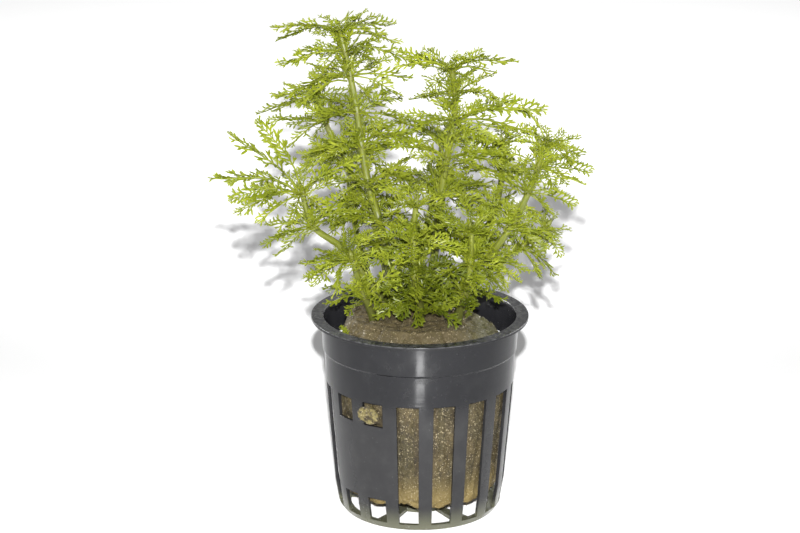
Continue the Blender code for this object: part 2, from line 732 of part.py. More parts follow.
def main():
    """Build the pot and the plug, then the stems, then the leaves from those in the photo on."""
    clear_scene()
    rng = random.Random(SEED)
    plastic = plain_material("black plastic", (0.020, 0.020, 0.022), 0.35)
    wool = plain_material("wet rockwool", (0.200, 0.150, 0.070), 0.85)
    stem_green = plain_material("stem green", (0.380, 0.500, 0.080), 0.50)
    leaf_green = plain_material("leaf green", (0.230, 0.400, 0.040), 0.55)

    whole = bpy.data.objects.new("potted_plant", None)
    bpy.context.collection.objects.link(whole)
    pot = build_pot(plastic, whole)
    plug = build_plug(rng, wool, whole)
    ways = {name: smooth_way(points) for name, (points, _) in SHOOTS.items()}
    add_boolean(plug, "tuft", build_tuft(), "UNION")
    add_boolean(plug, "bores", build_bores(ways), "DIFFERENCE")
    bpy.context.view_layer.update()

    standing = Standing()
    standing.add("pot", *surface_of(pot))
    standing.add("plug", *surface_of(plug))
    rings = []
    for name, (_, rows) in SHOOTS.items():
        verts, faces = tube_shape(ways[name])
        standing.add(name, verts, faces)
        origin = ways[name][0]
        make_object(f"{name}_stem", fill_mesh(verts, faces, origin), stem_green,
                    place=origin, parent=whole, smooth_angle=70.0)
        for number, row in enumerate(rows, start=1):
            rings.append(LeafRing(f"{name}_leaves_{number}", ways[name], row, rng))
    for ring in rings:
        standing.add(ring.name, *ring.shape())
    for ring in rings:
        for leaf in ring.picked:
            grow_leaf(leaf, standing)
    for ring in rings:
        for leaf in ring.leaves:
            if not leaf.stands:
                grow_leaf(leaf, standing)
    for ring in rings:
        verts, faces = ring.shape()
        make_object(ring.name, fill_mesh(verts, faces, ring.place), leaf_green,
                    place=ring.place, parent=whole)


main()
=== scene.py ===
# %% [markdown]
# # A potted giant ambulia
#
# Giant ambulia grows in ponds and aquariums. It is sold as a bunch of shoots in a
# plug of rockwool, held in a slotted pot of black plastic. This lesson dresses the
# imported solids: it reads where each solid stem and leaf is, and puts a finer one
# in its place. So no shoot is placed by eye, and no piece leaves its solid.

# %% The fixed frame
import math
import random

import bmesh
import bpy
import numpy as np
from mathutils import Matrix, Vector
from mathutils.bvhtree import BVHTree


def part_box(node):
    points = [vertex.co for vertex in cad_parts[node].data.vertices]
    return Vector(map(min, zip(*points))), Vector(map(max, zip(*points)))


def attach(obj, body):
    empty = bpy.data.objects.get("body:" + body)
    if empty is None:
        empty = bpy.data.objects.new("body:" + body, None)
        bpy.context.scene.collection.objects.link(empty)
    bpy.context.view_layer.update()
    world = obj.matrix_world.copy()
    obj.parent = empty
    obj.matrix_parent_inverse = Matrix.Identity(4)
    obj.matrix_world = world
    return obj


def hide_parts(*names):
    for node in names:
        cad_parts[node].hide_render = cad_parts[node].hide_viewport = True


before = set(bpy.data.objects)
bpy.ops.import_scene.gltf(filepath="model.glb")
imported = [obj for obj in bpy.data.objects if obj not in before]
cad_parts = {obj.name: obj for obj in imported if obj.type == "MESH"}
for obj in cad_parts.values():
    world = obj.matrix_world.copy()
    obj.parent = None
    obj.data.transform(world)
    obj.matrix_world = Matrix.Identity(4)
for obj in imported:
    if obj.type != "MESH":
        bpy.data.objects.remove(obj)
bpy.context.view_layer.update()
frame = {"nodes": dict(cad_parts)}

MM = 0.001
nodes = frame["nodes"]
stem_names = sorted(name for name in nodes if name.endswith("_stem"))
ring_names = sorted(name for name in nodes if "_leaves_" in name)
print(f"{len(stem_names)} stems and {len(ring_names)} leaf rings, all on one body")

# %% [markdown]
# ## Camera
#
# The camera was fitted to the pot's rim, base and slots in the photograph. It
# looks down at the pot by 17 degrees through a long lens.

# %% Camera
SENSOR_WIDTH = 36.0
LENS = 117.0
CAMERA_PLACE = (-5.03 * MM, -625.6 * MM, 254.0 * MM)
CAMERA_TILT = 73.05

camera_data = bpy.data.cameras.new("camera")
camera_data.sensor_width = SENSOR_WIDTH
camera_data.lens = LENS
camera_data.clip_start = 0.01
camera = bpy.data.objects.new("camera", camera_data)
camera.location = CAMERA_PLACE
camera.rotation_euler = (math.radians(CAMERA_TILT), 0, 0)
bpy.context.scene.collection.objects.link(camera)
bpy.context.scene.camera = camera
bpy.context.scene.view_settings.view_transform = "Standard"
print(f"a {LENS:.0f} mm lens, {abs(CAMERA_PLACE[1]):.2f} m away")

# %% [markdown]
# ## Light and floor
#
# The shadows lie behind the plant and a little lower in the picture, so the key
# light is small and stands just above and behind the camera. A glowing card on the
# floor in front throws the thin bright line on the pot's collar, and two soft
# lights lift the back for the views from there.
#
# The photograph's floor is burnt out to white round the shadows. Two spot lamps in
# the key light's place do that: they throw the same shadow, and light linking keeps
# them off the plant. It keeps the back lights off the floor as well.

# %% Lamps for the plant
def aim_lamp(name, data, place, target):
    """Put a lamp in the scene, facing a point. The camera doesn't see it."""
    light = bpy.data.objects.new(name, data)
    light.location = place
    light.rotation_euler = (Vector(target) - Vector(place)).to_track_quat("-Z", "Y").to_euler()
    light.visible_camera = False
    bpy.context.scene.collection.objects.link(light)
    return light


def soft_box(name, place, target, width, height, power, spread=180.0):
    data = bpy.data.lights.new(name, "AREA")
    data.shape = "RECTANGLE"
    data.size = width
    data.size_y = height
    data.energy = power
    data.spread = math.radians(spread)
    return aim_lamp(name, data, place, target)


KEY_PLACE = (-0.004, -0.66, 0.308)
KEY_TARGET = (0, 0, 0.06)
KEY_SIZE = 0.008
CARD_PLACE = (0.0, -0.125, 0.001)
CARD_TARGET = (0, -0.125, 1)
BACK_TARGET = (0, 0, 0.07)
BACK_SIZE = 0.30
soft_box("key light", KEY_PLACE, KEY_TARGET, KEY_SIZE, KEY_SIZE, power=9.6)
soft_box("card on the floor", CARD_PLACE, CARD_TARGET, width=0.016, height=0.056, power=0.042)
back_lights = [
    soft_box(f"back light {side}", (0.55 * side, 0.42, 0.34), BACK_TARGET, BACK_SIZE, BACK_SIZE,
             power=0.8, spread=60.0)
    for side in (-1, 1)]
print("a key light, a card and two back lights")

# %% World and floor
WORLD_STRENGTH = 0.34
FLOOR_SIZE = 12.0

world = bpy.data.worlds.new("pale room")
world.use_nodes = True
background = world.node_tree.nodes["Background"]
background.inputs["Color"].default_value = (1.0, 1.0, 1.0, 1.0)
background.inputs["Strength"].default_value = WORLD_STRENGTH
bpy.context.scene.world = world

paper = bpy.data.materials.new("pale paper")
paper.use_nodes = True
paper_shader = paper.node_tree.nodes["Principled BSDF"]
paper_shader.inputs["Base Color"].default_value = (0.90, 0.90, 0.90, 1.0)
paper_shader.inputs["Roughness"].default_value = 0.75
bpy.ops.mesh.primitive_plane_add(size=FLOOR_SIZE)
floor = bpy.context.object
floor.name = "floor"
floor.data.materials.append(paper)
print(f"a floor of pale paper, {FLOOR_SIZE:.0f} m wide")

# %% Lamps for the floor alone
def floor_spot(name, target, power, angle, widening):
    """A spot lamp in the key light's place, with a beam that is wider than it is high."""
    data = bpy.data.lights.new(name, "SPOT")
    data.energy = power
    data.spot_size = math.radians(angle)
    data.spot_blend = 1.0
    data.shadow_soft_size = KEY_SIZE / 2
    lamp = aim_lamp(name, data, KEY_PLACE, target)
    lamp.scale = (widening, 1.0, 1.0)
    return lamp


def link_lamps(lamps, title, state):
    """Have lamps light the floor alone, by INCLUDE, or all but the floor, by EXCLUDE."""
    linked = bpy.data.collections.new(title)
    linked.objects.link(floor)
    linked.collection_objects[0].light_linking.link_state = state
    for lamp in lamps:
        lamp.light_linking.receiver_collection = linked


# The first beam passes over the near floor, which the key light whitens
floor_lamps = [
    floor_spot("floor lamp", (0.0, 1.58, 0.0), power=228.0, angle=30, widening=1.8),
    floor_spot("near floor lamp", (0.0, -0.20, 0.0), power=22.0, angle=60, widening=1.6)]
link_lamps(floor_lamps, "lit by the floor lamps", "INCLUDE")
link_lamps(back_lights, "not lit by the back lights", "EXCLUDE")
print("two more lamps, which light nothing but the floor")

# %% [markdown]
# ## Node trees as expressions
#
# A node tree is easier to read when it is written as a formula. Field wraps an
# output of a node, and a sum of two fields adds a Math node to the tree. Nodes
# makes every other node from its type, its settings and the values of its
# sockets. Both serve shaders and Geometry Nodes alike.

# %% Fields
class Field:
    """An output of a node, which can be used in a formula as a number can."""

    def __init__(self, nodes, socket):
        self.nodes = nodes
        self.socket = socket

    def __add__(self, other):
        return self.nodes.math("ADD", self, other)

    def __radd__(self, other):
        return self.nodes.math("ADD", other, self)

    def __sub__(self, other):
        return self.nodes.math("SUBTRACT", self, other)

    def __rsub__(self, other):
        return self.nodes.math("SUBTRACT", other, self)

    def __mul__(self, other):
        return self.nodes.math("MULTIPLY", self, other)

    def __rmul__(self, other):
        return self.nodes.math("MULTIPLY", other, self)

    def __truediv__(self, other):
        return self.nodes.math("DIVIDE", self, other)

    def __pow__(self, other):
        return self.nodes.math("POWER", self, other)


print("fields ready")

# %% The nodes of a tree
class Nodes:
    """Adds nodes to a tree. Values are numbers, vectors or fields, by socket name or number."""

    def __init__(self, tree):
        self.tree = tree

    def node(self, kind, settings=None, values=None):
        made = self.tree.nodes.new(kind)
        for name, value in (settings or {}).items():
            setattr(made, name, value)
        for name, value in (values or {}).items():
            if isinstance(value, Field):
                self.tree.links.new(value.socket, made.inputs[name])
            else:
                made.inputs[name].default_value = value
        return made

    def field(self, kind, settings=None, values=None, output=0):
        return Field(self, self.node(kind, settings, values).outputs[output])

    def math(self, operation, *values, **settings):
        settings["operation"] = operation
        return self.field("ShaderNodeMath", settings, dict(enumerate(values)))

    def vector(self, x, y, z):
        return self.field("ShaderNodeCombineXYZ", {}, {0: x, 1: y, 2: z})

    def vector_math(self, operation, *values, output=0, **extra):
        wired = dict(enumerate(values)) | extra
        return self.field("ShaderNodeVectorMath", {"operation": operation}, wired, output)

    def mix(self, factor, a, b, blend="MIX"):
        """Blend two colours. They are inputs 6 and 7 of a Mix node, and the result is output 2."""
        settings = {"data_type": "RGBA", "blend_type": blend}
        return self.field("ShaderNodeMix", settings, {0: factor, 6: a, 7: b}, 2)

    def step(self, value, low, high):
        """0 below low, 1 above high and a smooth rise between them. It falls where low is above high."""
        settings = {"interpolation_type": "SMOOTHSTEP"}
        return self.field("ShaderNodeMapRange", settings, {0: value, 1: low, 2: high, 3: 0.0, 4: 1.0})

    def noise(self, place, scale, detail=3.0, roughness=0.55):
        values = {"Vector": place, "Scale": scale, "Detail": detail, "Roughness": roughness}
        return self.field("ShaderNodeTexNoise", {}, values)

    def stretched_noise(self, place, across, upwards, detail):
        """Noise with one scale across the object and another up it."""
        return self.noise(self.vector_math("MULTIPLY", place, (across, across, upwards)), 1.0, detail)


def rgb(red, green, blue):
    return (red, green, blue, 1.0)


print("formulas ready")

# %% [markdown]
# ## Making pieces
#
# Every piece ends as a plain mesh: the object is evaluated with its modifiers, the
# result becomes its mesh, and the modifiers go. The piece then rides on the body
# and stands for the solid that it replaces.

# %% Making pieces
def new_object(name, verts, faces, edges=()):
    mesh = bpy.data.meshes.new(name)
    mesh.from_pydata([tuple(v) for v in verts], list(edges), list(faces))
    mesh.update()
    made = bpy.data.objects.new(name, mesh)
    bpy.context.scene.collection.objects.link(made)
    return made


def add_tree(made, tree, **inputs):
    """Put a Geometry Nodes tree on an object, with its inputs set by their titles."""
    modifier = made.modifiers.new(tree.name, "NODES")
    modifier.node_group = tree
    for item in tree.interface.items_tree:
        if item.item_type == "SOCKET" and item.in_out == "INPUT" and item.name in inputs:
            modifier[item.identifier] = inputs[item.name]


def baked(made):
    """Turn an object with modifiers into a plain mesh."""
    bpy.context.view_layer.update()
    depsgraph = bpy.context.evaluated_depsgraph_get()
    mesh = bpy.data.meshes.new_from_object(made.evaluated_get(depsgraph))
    mesh.name = made.name
    old = made.data
    made.modifiers.clear()
    made.data = mesh
    bpy.data.meshes.remove(old)
    return made


def triangles(made):
    return sum(len(polygon.vertices) - 2 for polygon in made.data.polygons)


def finish_piece(piece, slot, *replaced):
    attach(piece, "root")
    if replaced:
        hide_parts(*replaced)
    return piece


print("piece helpers ready")

# %% [markdown]
# ## Steps that the trees share
#
# Each tree starts with named inputs and ends in Realize Instances and Set Material.
# In between, several of them keep a value on their points, push a skin in or out,
# or set small shapes on points. Those steps are written once here.

# %% The start and the end of a tree
def geometry_tree(name, **inputs):
    """A new tree with Geometry in and out, and a named input for each size."""
    tree = bpy.data.node_groups.new(name, "GeometryNodeTree")
    tree.interface.new_socket("Geometry", in_out="INPUT", socket_type="NodeSocketGeometry")
    for title, (kind, value) in inputs.items():
        socket = tree.interface.new_socket(title, in_out="INPUT", socket_type=f"NodeSocket{kind}")
        if value is not None:
            socket.default_value = value
    tree.interface.new_socket("Geometry", in_out="OUTPUT", socket_type="NodeSocketGeometry")
    made = Nodes(tree)
    entry = tree.nodes.new("NodeGroupInput")
    fields = {socket.name: Field(made, socket) for socket in entry.outputs if socket.name}
    return made, fields


def end_tree(made, geometry, material):
    """Realize the instances, set the material and join the tree's output."""
    real = made.field("GeometryNodeRealizeInstances", {}, {"Geometry": geometry})
    values = {"Geometry": real, "Material": material}
    painted = made.field("GeometryNodeSetMaterial", {}, values)
    made.node("NodeGroupOutput", {}, {"Geometry": painted})
    return made.tree


print("trees can be started and ended")

# %% Steps inside a tree
def store(made, geometry, name, value):
    """Keep a value on each point of a geometry, under a name."""
    values = {"Geometry": geometry, "Name": name, "Value": value}
    return made.field("GeometryNodeStoreNamedAttribute", {}, values)


def stored(made, name, data_type="FLOAT"):
    """Read the value that the points carry under a name."""
    return made.field("GeometryNodeInputNamedAttribute", {"data_type": data_type}, {"Name": name})


def push(made, geometry, distance):
    """Move each point along its normal."""
    normal = made.field("GeometryNodeInputNormal")
    offset = made.vector_math("SCALE", normal, Scale=distance)
    return made.field("GeometryNodeSetPosition", {}, {"Geometry": geometry, "Offset": offset})


def join(made, *parts):
    joined = made.node("GeometryNodeJoinGeometry")
    for part in parts:
        made.tree.links.new(part.socket, joined.inputs[0])
    return Field(made, joined.outputs[0])


# The number of Random Value's lower bound and that of its result, for each type of value
RANDOM_SOCKETS = {"FLOAT_VECTOR": (0, 0), "FLOAT": (2, 1), "INT": (4, 2)}


def random_value(made, data_type, low, high, seed):
    bound, output = RANDOM_SOCKETS[data_type]
    values = {bound: low, bound + 1: high, "Seed": seed}
    return made.field("FunctionNodeRandomValue", {"data_type": data_type}, values, output)


def instances(made, points, shapes, kind, aim, up, size):
    """Set one shape of a collection on each point, with its X along aim and its top to up."""
    choice = made.field("GeometryNodeCollectionInfo", {}, {
        "Collection": shapes, "Separate Children": True, "Reset Children": True})
    rotation = made.field(
        "FunctionNodeAxesToRotation", {"primary_axis": "X", "secondary_axis": "Z"},
        {"Primary Axis": aim, "Secondary Axis": up})
    return made.field("GeometryNodeInstanceOnPoints", {}, {
        "Points": points, "Instance": choice, "Pick Instance": True,
        "Instance Index": kind, "Rotation": rotation, "Scale": size})


print("steps inside a tree ready")

# %% [markdown]
# ## Leaf material
#
# The leaves are a bright yellow green that turns olive where they are older; low and
# inner leaves are painted darker as shade, and middle ones lighter as painted light.
# Each leaf carries two attributes from its tree: tone, which differs from leaf to leaf
# and holds its age and painted shade, and along, which runs from its base to its tip.
# A noise scale counts the features in a metre, so a scale of 130 makes patches of 8 mm
# and one of 1500 makes grain.
# Thin leaves let light through, so a translucent shader is mixed into the glossy one.

# %% What the materials share
def new_material(name):
    material = bpy.data.materials.new(name)
    material.use_nodes = True
    material.node_tree.nodes.clear()
    return material, Nodes(material.node_tree)


def attribute(made, name):
    return made.field("ShaderNodeAttribute", {"attribute_name": name}, {}, 2)


def object_place(made):
    return made.field("ShaderNodeTexCoord", {}, {}, 3)


def coordinate(made, place, axis):
    """A coordinate of a place in millimetres. Axis 0 is X and axis 2 is the height."""
    return made.field("ShaderNodeSeparateXYZ", {}, {0: place}, axis) / MM


def from_axis(made, place):
    """Distance from the pot's axis in millimetres."""
    level = made.vector_math("MULTIPLY", place, (1.0, 1.0, 0.0))
    return made.vector_math("LENGTH", level, output=1) / MM


def surface(made, color, roughness, relief, strength, distance, specular=0.5):
    """The shader of a surface, with a Bump node that reads a relief."""
    values = {"Strength": strength, "Distance": distance, "Height": relief}
    normal = made.field("ShaderNodeBump", {}, values)
    return made.field("ShaderNodeBsdfPrincipled", {}, {
        "Base Color": color, "Roughness": roughness, "Normal": normal, "Specular IOR Level": specular})


def finished(material, made, shader):
    """Join a shader to the output of its material."""
    made.node("ShaderNodeOutputMaterial", {}, {0: shader})
    return material


print("material helpers ready")

# %% Leaf material
FRESH_GREENS = (rgb(0.290, 0.335, 0.0230), rgb(0.405, 0.445, 0.0410))
OLIVE_GREENS = (rgb(0.100, 0.128, 0.0080), rgb(0.168, 0.198, 0.0130))
STALK_GREEN = rgb(0.300, 0.330, 0.030)
LOBE_SHADE = rgb(0.40, 0.48, 0.30)
CELL_SHADE = rgb(0.50, 0.58, 0.35)
GLOW_GREEN = rgb(0.40, 0.46, 0.015)
GLOW_SHARE = 0.40


def leaf_material():
    material, made = new_material("leaf green")
    place = object_place(made)
    tone = attribute(made, "tone")
    along = attribute(made, "along")
    patches = made.step(made.noise(place, 130.0, 2.0), 0.35, 0.68)
    lobes = made.step(made.noise(place, 620.0, 1.0), 0.40, 0.66)
    cells = made.noise(place, 1500.0, 3.0)
    fresh = made.mix(patches, *FRESH_GREENS)
    olive = made.mix(patches, *OLIVE_GREENS)
    color = made.mix(made.step(tone, 0.25, 0.95), fresh, olive)
    color = made.mix(made.step(along, 0.30, 0.0) * 0.6, color, STALK_GREEN)
    color = made.mix(lobes * 0.50, color, LOBE_SHADE, "MULTIPLY")
    color = made.mix(made.step(cells, 0.45, 0.75) * 0.30, color, CELL_SHADE, "MULTIPLY")
    leaf = surface(made, color, 0.28 + 0.18 * cells, cells, 0.35, 0.12 * MM, specular=0.36)
    glow = made.field("ShaderNodeBsdfTranslucent", {}, {"Color": GLOW_GREEN})
    both = made.field("ShaderNodeMixShader", {}, {0: GLOW_SHARE, 1: leaf, 2: glow})
    return finished(material, made, both)


leaf_green = leaf_material()
print("leaf material ready")

# %% [markdown]
# ## Stem material
#
# A stem is pale and juicy in the light and finely ribbed along its length. Near its
# foot it is painted darker, as painted shade under the low leaves. Its tree stores two
# attributes, turn, the share of the way round, and reach, the distance from its foot,
# so the ribs follow the stem however it bends. The bruised rings where the leaves grow
# come from knot, which is 1 at a leaf ring.

# %% Stem material
STEM_GREENS = (rgb(0.098, 0.118, 0.008), rgb(0.158, 0.174, 0.016))
BRUISE_BROWN = rgb(0.095, 0.092, 0.014)
KNOT_BROWN = rgb(0.080, 0.072, 0.014)
# Painted shade for the foot of a stem, which stands under the low leaves
STEM_FOOT_SHADE = rgb(0.048, 0.052, 0.010)
# Scale of the ribs' noise round the stem and, in a metre, along it
RIB_SCALE_ROUND = 2.2
RIB_SCALE_ALONG = 110.0


def stem_material():
    material, made = new_material("stem green")
    turn = attribute(made, "turn") * math.tau
    round_x = made.math("SINE", turn) * RIB_SCALE_ROUND
    round_y = made.math("COSINE", turn) * RIB_SCALE_ROUND
    skin = made.vector(round_x, round_y, attribute(made, "reach") * RIB_SCALE_ALONG)
    strands = made.noise(skin, 1.6, 3.0)
    place = object_place(made)
    patches = made.noise(place, 120.0, 3.0)
    knot = attribute(made, "knot")
    # Painted shade: the stem is darkened below the low leaves near its foot
    foot_shade = made.step(coordinate(made, place, 2), 68.0, 55.0)
    color = made.mix(made.step(strands, 0.35, 0.65), *STEM_GREENS)
    color = made.mix(made.step(patches, 0.52, 0.75) * 0.6, color, BRUISE_BROWN)
    color = made.mix(made.step(knot, 0.3, 1.0) * 0.6, color, KNOT_BROWN)
    color = made.mix(foot_shade * 0.8, color, STEM_FOOT_SHADE)
    return finished(material, made, surface(made, color, 0.36 + 0.16 * strands, strands, 0.6, 0.15 * MM))


stem_green = stem_material()
print("stem material ready")

# %% [markdown]
# ## Where the solid leaves and stems are
#
# A leaf in the CAD model is a blade of three steps: four corners at the stem, four
# at its widest place and one at its tip. The tip has four neighbours and lies
# further out than all of them, so a walk over the mesh finds each leaf. A stem is
# a tube with a point at each end, and a walk from its foot finds ring after ring.

# %% The corners of a solid
WELD = 0.02 * MM


def corners_of(node):
    """The corners of a solid without doubles, and the neighbours of each."""
    mesh = nodes[node].data
    spots = {}
    index = []
    for vertex in mesh.vertices:
        key = tuple(round(c / WELD) for c in vertex.co)
        index.append(spots.setdefault(key, len(spots)))
    points = [None] * len(spots)
    for vertex, spot in zip(mesh.vertices, index):
        points[spot] = vertex.co.copy()
    near = [set() for _ in points]
    for polygon in mesh.polygons:
        corners = {index[i] for i in polygon.vertices}
        for corner in corners:
            near[corner] |= corners - {corner}
    return points, near


def middle_of(points):
    return sum(points, Vector()) / len(points)


print(f"{stem_names[0]} has {len(corners_of(stem_names[0])[0])} corners")

# %% The blades of the solid rings
BLADE_CORNERS = 4


def leaves_of(node):
    """The centre of a ring, and (root, tip, up) of each of its leaves."""
    points, near = corners_of(node)
    heart = middle_of(points)
    blades = []
    for tip, around in enumerate(near):
        farthest = all((points[k] - heart).length < (points[tip] - heart).length for k in around)
        if len(around) == BLADE_CORNERS and farthest:
            blades.append((tip, around))
    blade_spots = {spot for tip, around in blades for spot in (tip, *around)}
    collar = [points[k] for k in range(len(points)) if k not in blade_spots]
    centre = middle_of(collar)
    leaves = []
    for tip, around in blades:
        port = set().union(*(near[k] for k in around)) - around - {tip}
        root = middle_of([points[k] for k in port])
        widest = sorted(around)
        first = points[widest[0]]
        # Of the three other corners, the nearest lies across the blade's thickness
        other = min((points[k] for k in widest[1:]), key=lambda p: (p - first).length)
        leaves.append((root, points[tip], (first - other).normalized()))
    return centre, leaves


rings = {name: leaves_of(name) for name in ring_names}
print(f"{sum(len(leaves) for _, leaves in rings.values())} blades on {len(rings)} rings")

# %% The ways of the solid stems
def way_of(node):
    """The middle of each ring of a stem from its foot up, and the stem's radii there."""
    points, near = corners_of(node)
    foot = min(range(len(points)), key=lambda k: points[k].z)
    seen = {foot}
    level = [foot]
    way, radii = [], []
    while level:
        middle = middle_of([points[k] for k in level])
        way.append(middle)
        radii.append(sum((points[k] - middle).length for k in level) / len(level))
        after = {n for k in level for n in near[k]} - seen
        seen |= after
        level = sorted(after)
    return way, radii


ways = {name: way_of(name) for name in stem_names}
print(f"{sum(len(way) for way, _ in ways.values())} points on {len(ways)} stems")

# %% [markdown]
# ## One side branch of a leaf
#
# The blade of a giant ambulia leaf is cut down to its veins: a row of side
# branches, each split again into a few strap-like lobes that lean forward. A lobe
# is a keeled sliver of twelve flat triangles, so that thousands of them stay light
# and each side of the keel catches the light on its own. The lobes low on the
# plant are broader than those above.

# %% One lobe
LOBE_KEEL = 0.06
# Width of a lobe at two places along it, as (share of its length, share of its width)
LOBE_STATIONS = ((0.16, 0.85), (0.68, 1.0))


def cross_section(verts, place, side, half):
    """Add the three corners of a section, with its keel on top."""
    verts += [place + side * half, place + Vector((0, 0, LOBE_KEEL)), place - side * half]
    return len(verts) - 3


def lobe(verts, faces, base, direction, length, width):
    """Add a closed sliver that is pointed at both ends."""
    side = Vector((-direction.y, direction.x, 0))
    verts.append(base)
    start = len(verts) - 1
    rows = [cross_section(verts, base + direction * length * share, side, width * wide / 2)
            for share, wide in LOBE_STATIONS]
    verts.append(base + direction * length)
    for i in range(3):
        j = (i + 1) % 3
        faces.append((start, rows[0] + i, rows[0] + j))
        for a, b in zip(rows, rows[1:]):
            faces.append((a + j, a + i, b + i, b + j))
        faces.append((rows[-1] + j, rows[-1] + i, len(verts) - 1))


print(f"a lobe has two points and {len(LOBE_STATIONS)} sections between them")

# %% One side branch of a leaf
rng = random.Random(11)
BRANCH_KINDS = 5
# Where the side lobes leave a branch, as a share of it, and on which side
LOBE_PLACES = ((0.36, 1), (0.58, -1))
LOBE_PLACE_CHANCE = 0.05
NARROW_LOBE = 0.17
BROAD_LOBE = 0.25
# The main lobe starts inside the midrib, so that the two join
BRANCH_START = -0.05
MAIN_LOBE_RISE = (-0.05, 0.1)
MAIN_LOBE_WIDTH = 0.9
# How a side lobe turns from its branch, in degrees, rises and takes of the length that is left
SIDE_LOBE_TURN = (20, 40)
SIDE_LOBE_RISE = (-0.25, 0.35)
SIDE_LOBE_SHARE = (0.60, 0.85)
SIDE_LOBE_SHORTEST = 0.20


def make_branch(name, lobe_width):
    """A side branch along +X, one unit long, with lobes on both sides."""
    verts, faces = [], []
    ahead = Vector((1, 0, rng.uniform(*MAIN_LOBE_RISE)))
    start = Vector((BRANCH_START, 0, 0))
    lobe(verts, faces, start, ahead, 1.0 - BRANCH_START, lobe_width * MAIN_LOBE_WIDTH)
    for share, side in LOBE_PLACES:
        share += rng.uniform(-LOBE_PLACE_CHANCE, LOBE_PLACE_CHANCE)
        turn = math.radians(rng.uniform(*SIDE_LOBE_TURN)) * side
        length = (1.0 - share) * rng.uniform(*SIDE_LOBE_SHARE) + SIDE_LOBE_SHORTEST
        direction = Vector((math.cos(turn), math.sin(turn), rng.uniform(*SIDE_LOBE_RISE))).normalized()
        lobe(verts, faces, Vector((share, 0, 0)), direction, length, lobe_width)
    made = new_object(name, verts, faces)
    shell = bmesh.new()
    shell.from_mesh(made.data)
    bmesh.ops.recalc_face_normals(shell, faces=shell.faces)
    shell.to_mesh(made.data)
    shell.free()
    return made


def collection_of(name, members):
    """Keep instanced shapes in a collection of their own, outside the scene."""
    made = bpy.data.collections.new(name)
    for member in members:
        made.objects.link(member)
        bpy.context.scene.collection.objects.unlink(member)
    return made


def branches_of(name, lobe_width):
    return collection_of(name, [make_branch(f"{name}_{kind}", lobe_width) for kind in range(BRANCH_KINDS)])


narrow = branches_of("narrow", NARROW_LOBE)
broad = branches_of("broad", BROAD_LOBE)

# %% [markdown]
# ## A feathered leaf
#
# The tree draws the midrib as a curve that climbs from the stem and then levels
# out, gives it a thin section of four sides and sets branches in pairs along its
# outer part. The branches are longest before the middle of the blade and lean
# forward towards the tip. The base stays bare, as the leaf's own stalk, and the
# blade may twist on its way out. Named inputs hold the sizes, so one tree makes
# short, middling, long and broad leaves. Every curve of it is nought at both ends,
# so the leaf ends where its solid does.

# %% The tree of a feathered leaf
MIDRIB_POINTS = 8
MIDRIB_SIDES = 4
MIDRIB_TAPER = 0.55
# The outermost branches leave the midrib at this share of it
LAST_BRANCH = 0.91


def midrib_curve(made, given, share):
    """A line along +X that climbs, levels out and sways, with the share of the way on its points."""
    length = given["Length"]
    line = made.field("GeometryNodeCurvePrimitiveLine", {}, {"End": made.vector(length, 0.0, 0.0)})
    fine = made.field("GeometryNodeResampleCurve", {}, {"Curve": line, "Count": MIDRIB_POINTS})
    # This hump is 1 at a third of the way, and level at the tip
    hump = 6.75 * share * (1.0 - share) ** 2.0 * given["Arch"]
    sway = made.math("SINE", share * math.pi) * given["Sway"]
    offset = made.vector(0.0, sway * length, hump * length)
    bent = made.field("GeometryNodeSetPosition", {}, {"Geometry": fine, "Offset": offset})
    return store(made, bent, "along", share)


def side_branches(made, given, points, tangent, number, side):
    """A branch on each point, on one side of the midrib."""
    stalk, seed = given["Stalk"], given["Seed"]
    blade = (stored(made, "along") - stalk) / (1.0 - stalk)

    def chance(low, high, shift):
        return random_value(made, "FLOAT", low, high, seed + (10.0 * shift + number))

    # Its angles to the midrib and to the plane of the leaf, and its length, greatest at a third
    turn = 0.88 - 0.40 * blade + chance(-0.15, 0.15, 1)
    bank = given["Twist"] * blade + chance(-0.65, 0.75, 2) * side
    reach = given["Reach"] * (0.72 + 1.00 * blade - 1.42 * blade * blade) * chance(0.80, 1.18, 3)
    forward = made.vector_math("SCALE", tangent, Scale=made.math("COSINE", turn))
    out = made.math("SINE", turn) * side
    level, lift = made.math("COSINE", bank), made.math("SINE", bank)
    aim = made.vector_math("ADD", forward, made.vector(0.0, out * level, out * lift))
    up = made.vector(0.0, 0.0 - lift, level)
    kind = random_value(made, "INT", 0, BRANCH_KINDS - 1, seed + (40.0 + number))
    return instances(made, points, given["Branches"], kind, aim, up, made.vector(reach, reach, reach))


def feathered_leaf_tree():
    made, given = geometry_tree(
        "feathered leaf", Length=("Float", 0.013), Stalk=("Float", 0.3), Pairs=("Int", 7),
        Reach=("Float", 0.0034), Arch=("Float", 0.07), Sway=("Float", 0.0),
        Twist=("Float", 0.0), Midrib=("Float", 0.0003), Seed=("Int", 0), Branches=("Collection", None))
    share = made.field("GeometryNodeSplineParameter")
    curve = midrib_curve(made, given, share)
    section = made.field("GeometryNodeCurvePrimitiveCircle", {}, {"Resolution": MIDRIB_SIDES, "Radius": 1.0})
    midrib = made.field("GeometryNodeCurveToMesh", {}, {
        "Curve": curve, "Profile Curve": section, "Fill Caps": True,
        "Scale": given["Midrib"] * (1.0 - MIDRIB_TAPER * share)})
    # The branches stand in pairs on the part past the stalk. Trim Curve has its ends at 2 and 3
    outer = made.field("GeometryNodeTrimCurve", {}, {"Curve": curve, 2: given["Stalk"], 3: LAST_BRANCH})
    spots = made.node("GeometryNodeCurveToPoints", {}, {"Curve": outer, "Count": given["Pairs"]})
    points, tangent = Field(made, spots.outputs["Points"]), Field(made, spots.outputs["Tangent"])
    sides = [side_branches(made, given, points, tangent, number, side)
             for number, side in enumerate((1.0, -1.0))]
    return end_tree(made, join(made, midrib, *sides), leaf_green)


leaf_tree = feathered_leaf_tree()
print(f"a leaf tree of {len(leaf_tree.nodes)} nodes")

